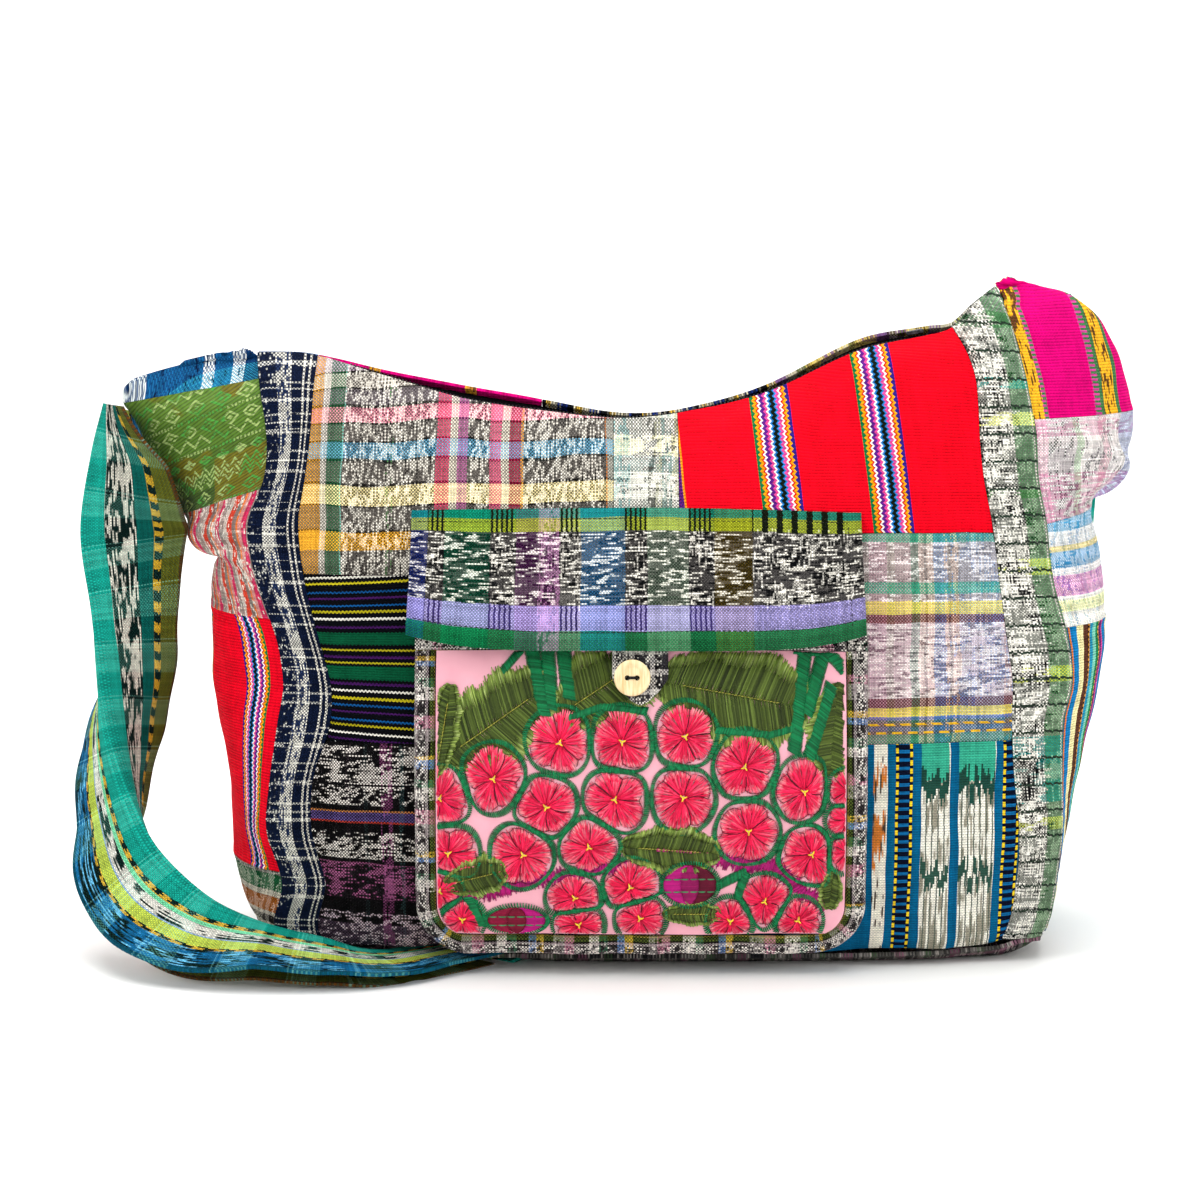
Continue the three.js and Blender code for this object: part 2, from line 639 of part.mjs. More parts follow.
function solidOf(geometry) {
  const clean = merged(geometry);
  const vertProperties = new Float32Array(clean.getAttribute('position').array);
  const triVerts = new Uint32Array(clean.getIndex().array);
  return new wasm.Manifold(new wasm.Mesh({ numProp: 3, vertProperties, triVerts }));
}

function geometryOf(solid) {
  const { vertProperties, triVerts } = solid.getMesh();
  const geometry = new THREE.BufferGeometry();
  geometry.setAttribute('position', new THREE.BufferAttribute(vertProperties, 3));
  geometry.setIndex(new THREE.BufferAttribute(triVerts, 1));
  return geometry;
}

function pocketButton() {
  const { radius, wall, dish, dishDepth, slope, round, hole, spread } = BUTTON;
  const profile = [
    [0, 0], [radius - round, 0], [radius, round], [radius, wall - round], [radius - round, wall],
    [dish + slope, wall], [dish - slope, wall - dishDepth], [0, wall - dishDepth],
  ].map(([r, h]) => new THREE.Vector2(r, h));
  let solid = solidOf(new THREE.LatheGeometry(profile, 24));
  for (const side of [-1, 1]) {
    const drill = new THREE.CylinderGeometry(hole, hole, 3 * wall, 8).translate(side * spread, 0, 0);
    solid = solid.subtract(solidOf(drill));
  }
  const mesh = piece('pocket_button', geometryOf(solid), finish(0xe3cfa4, 0.6));
  mesh.position.copy(onFront(BUTTON.x, BUTTON.z, BUTTON.seat));
  const normal = normalOf(frontPoint, BUTTON.x, BUTTON.z, STEP, 1);
  mesh.quaternion.setFromUnitVectors(new THREE.Vector3(0, 1, 0), normal);
  return mesh;
}
bag.add(pocketButton());

// Strap: a band folded in two along its length, swept along its fold line
function strapSections(rows) {
  const names = STRAP_COLUMNS.split(' ');
  const column = Object.fromEntries(names.map((name) => [name, through(rows, 'row', name)]));
  const place = (row) => new THREE.Vector3(column.x(row), column.y(row), column.z(row));
  const nudge = 0.05;
  const shares = [1, 0.5, 0.05];
  return (row) => {
    const tangent = place(row + nudge).sub(place(row - nudge)).normalize();
    const fold = new THREE.Vector3(column.foldX(row), column.foldY(row), column.foldZ(row));
    fold.addScaledVector(tangent, -fold.dot(tangent)).normalize();
    const side = new THREE.Vector3().crossVectors(tangent, fold);
    const half = THREE.MathUtils.degToRad(column.spread(row) / 2);
    const face = (sign, share, layer) => {
      const along = column.width(row) * share;
      const apart = STRAP.seat + layer;
      const back = -along * Math.cos(half) + apart * Math.sin(half);
      const out = sign * (along * Math.sin(half) + apart * Math.cos(half));
      return place(row).addScaledVector(fold, back).addScaledVector(side, out);
    };
    const outer = [
      ...shares.map((share) => face(1, share, STRAP.wall)),
      place(row).addScaledVector(fold, STRAP.wall),
      ...shares.toReversed().map((share) => face(-1, share, STRAP.wall)),
    ];
    const inner = [
      ...shares.map((share) => face(-1, share, 0)),
      place(row),
      ...shares.toReversed().map((share) => face(1, share, 0)),
    ];
    return [...outer, ...inner];
  };
}

function strapPiece({ name, rows, first, last, colour }) {
  const rowGap = 0.006;
  const stations = spaced(first + (first > 0 ? rowGap : 0), last - rowGap, Math.round((last - first) * 2));
  return piece(name, closedSweep(stations.map(strapSections(rows))), finish(colour));
}
STRAP_LENGTHS.forEach((length) => bag.add(strapPiece(length)));

export default bag;
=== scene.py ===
import math
import random

import bpy
import numpy as np
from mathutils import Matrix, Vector


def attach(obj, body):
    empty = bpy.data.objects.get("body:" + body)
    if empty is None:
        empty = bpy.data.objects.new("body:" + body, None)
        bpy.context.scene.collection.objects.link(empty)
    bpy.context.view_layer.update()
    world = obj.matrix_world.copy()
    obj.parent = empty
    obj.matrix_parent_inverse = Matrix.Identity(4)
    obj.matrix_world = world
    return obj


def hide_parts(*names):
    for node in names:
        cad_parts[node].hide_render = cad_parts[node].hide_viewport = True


# Patchwork shoulder bag. Sizes are in millimetres until a mesh is made.
millimetre = 0.001
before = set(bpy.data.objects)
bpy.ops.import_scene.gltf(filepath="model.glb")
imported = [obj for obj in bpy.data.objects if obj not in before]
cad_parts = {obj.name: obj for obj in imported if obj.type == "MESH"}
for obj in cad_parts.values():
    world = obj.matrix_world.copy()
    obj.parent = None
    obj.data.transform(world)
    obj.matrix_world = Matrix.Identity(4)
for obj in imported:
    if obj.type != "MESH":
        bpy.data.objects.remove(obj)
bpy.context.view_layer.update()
bpy.ops.object.select_all(action="DESELECT")
print("frame loaded")

# The bag's own shape
bag = {
    "wall": 1.7, "foot": 10, "cornerLift": 4, "rimWidth": 30, "inset": 3.7, "bow": 2.6, "crown": 248,
    "footFade": 14, "topGap": 0.5, "panelWrinkle": 1.6, "gussetWrinkle": 1.3,
    "zipLeft": -160, "zipRight": 142, "zipGap": 4.6, "endGap": 2.2, "closing": 12,
    # height, left seam, left strip's width, right seam, right strip's width
    "seams": [
        (0, -193, 23, 194, 20), (20, -197, 23, 200, 21), (42, -192, 22, 203, 21), (69, -199, 23, 205, 23),
        (97, -197, 22, 204, 25), (126, -193, 26, 204, 27), (145, -190, 24, 208, 31), (167, -193, 22, 206, 32),
        (200, -204, 25, 198, 28), (225, -208, 26, 195, 28), (248, -200, 21, 191, 28),
        (268, -199, 22, 190, 29), (296, -204, 28, 186, 26), (313, -208, 32, 182, 25),
        (345, -208, 32, 174, 25)],
    # place along the top, height, how much higher the back edge is
    "topEdge": [
        (-208, 309, 0), (-180, 308, 0), (-141, 297, 2), (-100, 285, 6), (-60, 279, 5), (-20, 275, 2),
        (12, 278, 1), (55, 288, 3), (104, 310, 5), (140, 318, 4), (152, 322, 2), (162, 333, 0),
        (176, 344, 0)],
    # share of the height, half-depth at the seams, half-depth in the middle
    "depth": [
        (0, 54, 66), (0.05, 60, 74), (0.15, 66, 81), (0.35, 70, 86), (0.55, 66, 80), (0.75, 54, 61),
        (0.9, 38, 33), (0.96, 24, 17), (1, 0, 0)],
    # height at the seams, height and reach at the gusset's middle
    "leftGusset": [
        (14, 14, -209), (32, 32, -219), (58, 58, -222), (85, 85, -224), (118, 118, -228), (152, 152, -232),
        (178, 178, -233), (200, 198, -231), (212, 206, -229), (226, 214, -242), (243, 226, -245),
        (262, 245, -260), (282, 266, -269), (299, 282, -277), (305, 294, -273), (308, 303, -246),
        (309, 309, -214)],
    "rightGusset": [
        (14, 14, 203), (32, 32, 207), (70, 70, 214), (99, 99, 220), (125, 125, 228), (152, 152, 232),
        (174, 174, 234), (203, 203, 230), (226, 230, 224), (242, 246, 238), (258, 262, 244),
        (278, 279, 245), (300, 299, 241), (320, 322, 230), (333, 336, 214), (341, 343, 195),
        (344, 346, 181)],
}


# A smooth curve through one column of rows, level past its ends
def through(rows, value, along=None):
    ys = np.array([row[value] for row in rows], float)
    xs = np.arange(len(rows), dtype=float)
    if along is not None:
        xs = np.array([row[along] for row in rows], float)
    last = len(xs) - 1
    order = np.arange(last + 1)
    before = np.maximum(order - 1, 0)
    after = np.minimum(order + 1, last)
    slope = (ys[after] - ys[before]) / (xs[after] - xs[before])

    def at(x):
        x = np.asarray(x, float)
        i = np.clip(np.searchsorted(xs, x) - 1, 0, last - 1)
        span = xs[i + 1] - xs[i]
        t = np.clip((x - xs[i]) / span, 0, 1)
        rise = t * t * (3 - 2 * t)
        leave = t * (1 - t) ** 2 * span
        arrive = t * t * (t - 1) * span
        return ys[i] + (ys[i + 1] - ys[i]) * rise + leave * slope[i] + arrive * slope[i + 1]

    return at


def mixed(a, b, t):
    return a + (b - a) * t


def eased(t):
    t = np.clip(t, 0, 1)
    return t * t * (3 - 2 * t)


leftSeam = through(bag["seams"], 1, 0)
leftStripWidth = through(bag["seams"], 2, 0)
rightSeam = through(bag["seams"], 3, 0)
rightStripWidth = through(bag["seams"], 4, 0)
topEdge = through(bag["topEdge"], 1, 0)
backRise = through(bag["topEdge"], 2, 0)
seamDepth = through(bag["depth"], 1, 0)
middleDepth = through(bag["depth"], 2, 0)
seamLines = {
    "leftSeam": leftSeam,
    "leftStrip": lambda z: leftSeam(z) + leftStripWidth(z),
    "rightStrip": lambda z: rightSeam(z) - rightStripWidth(z),
    "rightSeam": rightSeam,
}


def backTop(x):
    return topEdge(x) + backRise(x)


def shareAcross(x, z):
    return (x - leftSeam(z)) / (rightSeam(z) - leftSeam(z))


def footHeight(x):
    return bag["foot"] + bag["cornerLift"] * np.abs(2 * shareAcross(x, bag["foot"]) - 1) ** 6


def panelDepth(x, z, top):
    past = np.maximum(np.maximum(bag["zipLeft"] - x, x - bag["zipRight"]), 0)
    gap = mixed(bag["zipGap"], bag["endGap"], eased(past / bag["closing"]))
    crown = 1 - np.abs(2 * np.clip(shareAcross(x, z), 0, 1) - 1) ** 3
    share = np.clip(z / top, 0, 1)
    return gap + mixed(seamDepth(share), middleDepth(share), crown)


def frontPoint(x, z):
    return np.stack([x, -panelDepth(x, z, topEdge(x)), z], -1)


def backPoint(x, z):
    return np.stack([x, panelDepth(x, z, backTop(x)), z], -1)


def facing(surface, a, b, step, out=1):
    alongA = surface(a + step, b) - surface(a - step, b)
    alongB = surface(a, b + step) - surface(a, b - step)
    normal = np.cross(alongA, alongB)
    return out * normal / np.linalg.norm(normal, axis=-1, keepdims=True)


def onFront(x, z, off):
    x, z = np.broadcast_arrays(np.asarray(x, float), np.asarray(z, float))
    off = np.broadcast_to(np.asarray(off, float), x.shape)
    return frontPoint(x, z) + facing(frontPoint, x, z, 0.5) * off[..., None]


def gussetSurface(rows, seam):
    seamZ = through(rows, 0)
    middleZ = through(rows, 1)
    reach = through(rows, 2)

    def at(row, across):
        row, across = np.broadcast_arrays(np.asarray(row, float), np.asarray(across, float))
        z = seamZ(row)
        edge = onFront(seam(z), z, -bag["inset"])
        bow = 1 - np.abs(across) ** bag["bow"]
        depth = np.maximum(-edge[..., 1], 0.3)
        x = mixed(edge[..., 0], reach(row), bow)
        return np.stack([x, across * depth, mixed(edge[..., 2], middleZ(row), bow)], -1)

    return at


leftGusset = gussetSurface(bag["leftGusset"], leftSeam)
rightGusset = gussetSurface(bag["rightGusset"], rightSeam)


# Soft relief: seams pull in, pucker beside the thread, and the cloth ripples between them
def ripples(points, seed, lengths=(74, 46, 29, 19)):
    dice = np.random.default_rng(seed)
    total = np.zeros(points.shape[:-1])
    for size in lengths:
        for turn in range(3):
            way = dice.normal(size=3)
            way /= np.linalg.norm(way)
            total += np.sin(points @ way * 2 * math.pi / size + dice.uniform(0, 6.3)) * size / 240
    return total


def edgeRuns(points):
    across = np.linalg.norm(np.diff(points, axis=1), axis=2)
    upward = np.linalg.norm(np.diff(points, axis=0), axis=2)
    left = np.pad(np.cumsum(across, axis=1), ((0, 0), (1, 0)))
    low = np.pad(np.cumsum(upward, axis=0), ((1, 0), (0, 0)))
    return {"left": left, "right": left[:, -1:] - left, "low": low, "high": low[-1:] - low}


def relief(points, seams, seed, sink=1.2, reach=2.4, pucker=0.55, wrinkle=1.0):
    runs = edgeRuns(points)
    height = wrinkle * ripples(points, seed)
    for edge in seams:
        gap = runs[edge]
        along = runs["low"] if edge in ("left", "right") else runs["left"]
        wave = np.sin(along * 0.82 + 2.4 * np.sin(along / 17 + seed) + np.sin(along / 5.3))
        height -= sink * np.exp(-(gap / reach) ** 2)
        height += pucker * wave * np.exp(-gap / 7) * (1 - np.exp(-gap / 1.5))
    return height


# Cloth pieces: a grid laid on its surface, with a pattern map in metres, thickened inwards
def layCloth(name, points, pattern, wall):
    rows, columns = points.shape[:2]
    bpy.ops.object.select_all(action="DESELECT")
    bpy.ops.mesh.primitive_grid_add(x_subdivisions=columns - 1, y_subdivisions=rows - 1, size=1)
    piece = bpy.context.object
    piece.name = name
    piece.data.name = name
    piece.data.vertices.foreach_set("co", (points * millimetre).ravel())
    layer = piece.data.uv_layers[0]
    layer.name = "cloth"
    corners = np.empty(len(piece.data.loops), dtype=np.int32)
    piece.data.loops.foreach_get("vertex_index", corners)
    layer.data.foreach_set("uv", (pattern.reshape(-1, 2)[corners] * millimetre).ravel())
    piece.data.update()
    if wall:
        thick = piece.modifiers.new("thickness", "SOLIDIFY")
        thick.thickness = wall * millimetre
        thick.offset = -1
        bpy.ops.object.modifier_apply(modifier=thick.name)
    bpy.ops.object.shade_smooth_by_angle(angle=math.radians(55))
    return piece


# The low edge rolls under the bag and meets the base, except where the strap passes
def turnUnder(points, normals, pattern, tuck=2.8):
    drop = 0.3 + 2.7 * np.clip((points[:1, :, :1] - 10) / 20, 0, 1)
    down = drop * np.array([0.0, 0.0, 1.0])
    rows = [(points, pattern)]
    for angle in np.radians([30, 60, 90]):
        inward = normals[:1] * (tuck / 3.0) * drop * (1 - math.cos(angle))
        moved = points[:1] - inward - down * math.sin(angle)
        rows.insert(0, (moved, pattern[:1] - drop * math.sin(angle) * [0.0, 1.0]))
    return np.concatenate([row[0] for row in rows]), np.concatenate([row[1] for row in rows])


def runAlong(points):
    return np.pad(np.cumsum(np.linalg.norm(np.diff(points, axis=0), axis=1)), (1, 0))


# Width, length and cut area in metres, with a seam allowance; a tapered piece is cut from a shorter cloth
def flatSize(points):
    leastSide = 10.5
    leastFill = 0.4
    runs = edgeRuns(points)
    sides = np.cross(points[1:, 1:] - points[:-1, :-1], points[:-1, 1:] - points[1:, :-1])
    area = np.linalg.norm(sides, axis=-1).sum() / 2
    width = runs["left"][:, -1].max()
    length = min(runs["low"][-1, :].max(), area / width / leastFill)
    seam = min(4, 0.06 * width, 0.06 * length)
    width = max(width + 2 * seam, leastSide)
    length = max(length + 2 * seam, leastSide)
    cut = min(area + seam * (width + length), width * length)
    return (width * millimetre, length * millimetre), cut * millimetre ** 2


def sewIn(piece, node, slotName, material, points=None, held="stretched", restsOn=("bottom_panel",)):
    piece.data.materials.clear()
    piece.data.materials.append(material)
    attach(piece, "root")
    if node:
        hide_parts(node)
    if points is not None:
        flat, area = flatSize(points)
        under = [other for other in restsOn if other != node]


# The flat size is measured on the plain surface, before any relief
def sewSheet(node, slotName, material, shaped, pattern, wall, plain=None, **holding):
    piece = layCloth(node.replace("_", ""), shaped, pattern, wall)
    sewIn(piece, node, slotName, material, shaped if plain is None else plain, **holding)


# Shader wiring
def tint(hexText):
    values = [int(hexText[i:i + 2], 16) / 255 for i in (1, 3, 5)]
    return tuple(v / 12.92 if v <= 0.04045 else ((v + 0.055) / 1.055) ** 2.4 for v in values) + (1.0,)


class Wire:
    def __init__(self, cloth, socket):
        self.cloth = cloth
        self.socket = socket

    def maths(self, operation, *others):
        inputs = dict(enumerate((self,) + others))
        return self.cloth.add("ShaderNodeMath", {"operation": operation}, inputs)

    def turned(self, operation, other):
        return self.cloth.add("ShaderNodeMath", {"operation": operation}, {0: other, 1: self})

    def __add__(self, other):
        return self.maths("ADD", other)

    def __sub__(self, other):
        return self.maths("SUBTRACT", other)

    def __mul__(self, other):
        return self.maths("MULTIPLY", other)

    def __truediv__(self, other):
        return self.maths("DIVIDE", other)

    def __mod__(self, other):
        return self.maths("FLOORED_MODULO", other)

    def __lt__(self, other):
        return self.maths("LESS_THAN", other)

    def __gt__(self, other):
        return self.maths("GREATER_THAN", other)

    def __abs__(self):
        return self.maths("ABSOLUTE")

    def __radd__(self, other):
        return self.turned("ADD", other)

    def __rsub__(self, other):
        return self.turned("SUBTRACT", other)

    def __rmul__(self, other):
        return self.turned("MULTIPLY", other)

    def floor(self):
        return self.maths("FLOOR")

    def fract(self):
        return self.maths("FRACT")

    def wave(self):
        return self.maths("SINE")

    # 0 below the middle and 1 above it, over a soft width
    def step(self, middle, soft):
        scaled = self.maths("MULTIPLY_ADD", 1 / soft, 0.5 - middle / soft)
        return scaled.cloth.add("ShaderNodeClamp", {}, {0: scaled})


class Finish:
    def __init__(self, name):
        self.material = bpy.data.materials.new(name)
        self.material.use_nodes = True
        self.tree = self.material.node_tree
        self.tree.nodes.clear()

    def add(self, kind, settings=None, sockets=None, out=0):
        node = self.tree.nodes.new(kind)
        for key, value in (settings or {}).items():
            if key == "stops":
                self.fillRamp(node.color_ramp, value)
            else:
                setattr(node, key, value)
        for key, value in (sockets or {}).items():
            if isinstance(value, Wire):
                self.tree.links.new(value.socket, node.inputs[key])
            else:
                node.inputs[key].default_value = value
        if out is None:
            return node
        if isinstance(out, tuple):
            return [Wire(self, node.outputs[i]) for i in out]
        return Wire(self, node.outputs[out])

    def fillRamp(self, ramp, stops):
        ramp.interpolation = "CONSTANT"
        while len(ramp.elements) < len(stops):
            ramp.elements.new(1.0)
        for element, (place, colour) in zip(ramp.elements, stops):
            element.position = place
            element.color = colour

    def blend(self, factor, a, b, mode="MIX"):
        settings = {"data_type": "RGBA", "blend_type": mode}
        return self.add("ShaderNodeMix", settings, {0: factor, 6: a, 7: b}, out=2)

    def noise(self, x, y, scale=1.0, detail=1.0):
        place = self.add("ShaderNodeCombineXYZ", {}, {0: x, 1: y})
        settings = {"noise_dimensions": "2D"}
        return self.add("ShaderNodeTexNoise", settings, {"Vector": place, "Scale": scale, "Detail": detail})

    # Noise on the piece's own coordinates
    def grain(self, scale, detail=2.0):
        place = self.add("ShaderNodeTexCoord", out=3)
        return self.add("ShaderNodeTexNoise", {}, {"Vector": place, "Scale": scale, "Detail": detail})

    def chance(self, number):
        return self.add("ShaderNodeTexWhiteNoise", {"noise_dimensions": "1D"}, {"W": number})

    # Stripes with hard edges: (where each starts, its colour), in ramps of up to 30 stops
    def stripes(self, place, rows):
        rows = [(start, tint(colour)) for start, colour in rows]
        if len(rows) == 1:
            return rows[0][1]
        result = None
        for first in range(0, len(rows), 30):
            part = rows[first:first + 30]
            low = part[0][0]
            span = max(part[-1][0] - low, 0.01) * 1.02
            stops = [((start - low) / span, colour) for start, colour in part]
            colour = self.add("ShaderNodeValToRGB", {"stops": stops}, {0: (place - low) / span})
            result = colour if result is None else self.blend(place > low, result, colour)
        return result

    def within(self, place, limits):
        return (place > limits[0]) * (place < limits[1])

    # The piece's own pattern map, in millimetres
    def clothPlace(self):
        uv = self.add("ShaderNodeUVMap", {"uv_map": "cloth"})
        u, v = self.add("ShaderNodeSeparateXYZ", {}, {0: uv}, out=(0, 1))
        return u * 1000, v * 1000

    def surface(self, colour, roughness, height=None, bump=0.3, depth=0.0004, sheen=0.0, **constants):
        sockets = {"Base Color": colour, "Roughness": roughness, "Sheen Weight": sheen}
        sockets.update({"Specular IOR Level": 0.16, **constants})
        if height is not None:
            sockets["Normal"] = self.add(
                "ShaderNodeBump", {}, {"Height": height, "Strength": bump, "Distance": depth})
        shader = self.add("ShaderNodeBsdfPrincipled", {}, sockets)
        self.add("ShaderNodeOutputMaterial", {}, {"Surface": shader}, out=None)
        return self.material


# Handwoven cloth. u runs across the warp yarns and v along them, both in millimetres.
woven = {"roughness": 0.9, "bump": 0.8, "depth": 0.0005, "shine": 0.05, "ridgeShade": 0.44, "ground": 0.62,
         "gamma": 1.22, "patchy": 0.35, "speck": 0.16}


def weave(name, warp, weft, marks=(), pitch=0.82, share=0.5, contrast=0.75, rib=None, swing=1.5, fade=0.26):
    cloth = Finish(name)
    u, v = cloth.clothPlace()
    wobble = (cloth.noise(u, v, 0.03) - 0.5) * swing
    broad = cloth.noise(u, v, 0.075)
    yarnU = (u / pitch).floor()
    yarnV = (v / pitch).floor()
    luckU = cloth.chance(yarnU)
    luckV = cloth.chance(yarnV + 57)
    colours = {"v": cloth.stripes(u + wobble, warp), "u": cloth.stripes(v + wobble, weft)}
    lines = {"v": (v, u, yarnU * pitch, luckU), "u": (u, v, yarnV * pitch, luckV)}

    def dyed(mark, under):
        along, across, yarn, luck = lines[mark["run"]]
        shifted = along + (luck - 0.5) * mark["jitter"]
        mask = 1.0
        if mark["kind"] == "ikat":
            grain = cloth.noise(yarn / mark["across"] + luck * 2.6, shifted / mark["stretch"], 1.0, 2.0)
            mask = (grain + broad * 0.4).step(mark["cut"] + 0.2, 0.06)
        elif mark["kind"] == "bars":
            mask = ((shifted + mark["shift"]) / mark["period"]).fract() < mark["duty"]
        elif mark["kind"] == "zigzag":
            beat = abs((along / mark["period"]).fract() - 0.5) * 2
            stripes = cloth.stripes(across + (beat - 0.5) * mark["sway"], mark["stripes"])
            return cloth.blend(cloth.within(across, mark["span"]), under, stripes)
        if mark["span"]:
            mask = cloth.within(across, mark["span"]) * mask
        if mark["rows"]:
            mask = cloth.within(shifted, mark["rows"]) * mask
        return cloth.blend(mask, under, tint(mark["colour"]))

    for mark in marks:
        if mark["on"] in colours:
            colours[mark["on"]] = dyed(mark, colours[mark["on"]])
    parity = (yarnU + yarnV) % 2.0
    over = cloth.add("ShaderNodeClamp", {}, {0: (parity - 0.5) * contrast + share})
    colour = cloth.blend(over, colours["v"], colours["u"])
    for mark in marks:
        if mark["on"] == "both":
            colour = dyed(mark, colour)
    ridgeU = abs((u * (math.pi / pitch)).wave())
    ridgeV = abs((v * (math.pi / (rib or pitch))).wave())
    height = ridgeV * 0.8 + ridgeU * 0.25 if rib else ridgeU * (1 - parity) + ridgeV * parity
    speck = cloth.chance(yarnU * 13.7 + yarnV * 7.31)
    uneven = (luckU + luckV - 1) * fade
    patchy = (cloth.noise(u, v, 0.09, 2.0) - 0.5) * woven["patchy"]
    tone = uneven + patchy + speck * woven["speck"]
    # Painted shade: the ridge term paints each yarn lighter on its crown and darker in the grooves between
    # yarns, on top of the random tone; the same height also drives the bump
    colour = cloth.blend(1.0, colour, tone + height * woven["ridgeShade"] + woven["ground"], "MULTIPLY")
    colour = cloth.add("ShaderNodeGamma", {}, {0: colour, 1: woven["gamma"]})
    shine = {"Specular IOR Level": woven["shine"]}
    return cloth.surface(colour, woven["roughness"], height, woven["bump"], woven["depth"], **shine)


# One dye of a cloth: run "v" follows the warp and "u" the weft; span limits it across, rows along the run
def dye(kind, run, colour, span=None, rows=None, on=None, jitter=6, **more):
    return dict(more, kind=kind, run=run, colour=colour, span=span, rows=rows, on=on or run, jitter=jitter)


# Blurred flecks: width and length of a fleck, and the noise level above which a yarn takes the colour
def ikat(run, colour, across, stretch, cut, *place, **more):
    return dye("ikat", run, colour, *place, across=across, stretch=stretch, cut=cut, **more)


# Bars across the run: how often they come and what share of that they fill
def bars(run, colour, period, duty, *place, shift=0, **more):
    return dye("bars", run, colour, *place, period=period, duty=duty, shift=shift, **more)


def band(*given, **more):
    return dye("band", *given, **more)


print("helpers ready")

# Camera, light and floor
view = {"place": (-0.030, -1.6594, 0.4117), "down": 8, "lens": 96, "sensor": 36, "sky": 0.38}
bpy.ops.object.camera_add(location=view["place"], rotation=(math.radians(90 - view["down"]), 0, 0))
camera = bpy.context.object
camera.data.lens = view["lens"]
camera.data.sensor_width = view["sensor"]
camera.data.clip_end = 50
bpy.context.scene.camera = camera
bpy.context.scene.view_settings.view_transform = "Standard"

lamps = [
    {"name": "topLight", "place": (0.0, -0.45, 2.5), "aim": (0, 0, 0.15), "size": 2.2, "power": 53},
    {"name": "leftLight", "place": (-2.0, -1.6, 1.5), "aim": (0, 0, 0.15), "size": 1.1, "power": 17},
    {"name": "rightLight", "place": (2.0, -1.5, 1.3), "aim": (0, 0, 0.15), "size": 1.4, "power": 14},
    {"name": "backLight", "place": (0.3, 2.1, 1.6), "aim": (0, 0, 0.15), "size": 1.8, "power": 20},
    {"name": "coveLight", "place": (0.0, 0.9, 2.4), "aim": (0, 3.0, 0.5), "size": 2.4, "power": 42},
]
for lamp in lamps:
    bpy.ops.object.light_add(type="AREA", location=lamp["place"])
    light = bpy.context.object
    light.name = lamp["name"]
    light.data.size = lamp["size"]
    light.data.energy = lamp["power"]
    light.rotation_euler = (Vector(lamp["aim"]) - Vector(lamp["place"])).to_track_quat("-Z", "Y").to_euler()
world = bpy.data.worlds.new("studio")
bpy.context.scene.world = world
world.use_nodes = True
world.node_tree.nodes["Background"].inputs["Color"].default_value = (1, 1, 1, 1)
world.node_tree.nodes["Background"].inputs["Strength"].default_value = view["sky"]


def makeFloor():
    radius = 2.2
    cove = 0.9
    turns = 10
    bpy.ops.object.select_all(action="DESELECT")
    bpy.ops.mesh.primitive_circle_add(vertices=96, radius=radius, fill_type="NGON")
    floor = bpy.context.object
    floor.name = "floor"
    bpy.ops.object.mode_set(mode="EDIT")
    bpy.ops.mesh.select_mode(type="EDGE")
    bpy.ops.mesh.select_all(action="SELECT")
    bpy.ops.mesh.region_to_loop()
    for i in range(turns):
        angle = math.radians(90) * (i + 0.5) / turns
        step = cove * math.radians(90) / turns
        bpy.ops.mesh.extrude_edges_move(TRANSFORM_OT_translate={"value": (0, 0, step * math.sin(angle))})
        factor = (radius + step * math.cos(angle)) / radius
        bpy.ops.transform.resize(value=(factor, factor, 1), center_override=(0, 0, 0))
        radius *= factor
    bpy.ops.mesh.extrude_edges_move(TRANSFORM_OT_translate={"value": (0, 0, 1.2)})
    bpy.ops.object.mode_set(mode="OBJECT")
    bpy.ops.object.shade_smooth()
    paper = Finish("studioPaper")
    colour = paper.blend(paper.grain(3.0), tint("#f1f1ef"), tint("#f7f7f6"))
    floor.data.materials.append(paper.surface(colour, 0.75))


makeFloor()
print("camera, light and floor placed")


# Irregular stripes in the order given, as a weaver repeats a few yarns: colour, least and most width
def scattered(seed, start, end, yarns):
    dice = random.Random(seed)
    rows = []
    place = start
    while place < end:
        for colour, least, most in yarns:
            rows.append((place, colour))
            place += dice.uniform(least, most)
    return rows


# Thin lines on a ground: (middle, width, colour)
def lined(start, ground, lines):
    rows = [(start, ground)]
    for middle, width, colour in sorted(lines):
        rows.append((middle - width / 2, colour))
        rows.append((middle + width / 2, ground))
    return rows


# The narrow many-coloured group that is woven into the red cloths
def rainbowBand(start, scale=1.0):
    widths = [("#1f7a4a", 2.0), ("#e8a21c", 1.5), ("#d21a22", 0.9), ("#f2ece4", 1.1), ("#6a2c8c", 1.9),
              ("#d8559a", 1.4), ("#f2ece4", 0.9), ("#2f86c4", 1.1), ("#18231c", 2.2), ("#2f86c4", 1.0),
              ("#d8559a", 1.6), ("#f2ece4", 1.0), ("#d21a22", 1.0), ("#eca51e", 1.4), ("#3a2c86", 2.2)]
    rows = []
    end = start
    for colour, width in widths:
        rows.append((end, colour))
        end += width * scale
    return dye("zigzag", "v", None, (start + 0.4, end - 0.4), on="both", period=2.6, sway=1.3, stripes=rows)


navy, cream, black, grey = "#17243f", "#f3eee2", "#151417", "#74766f"

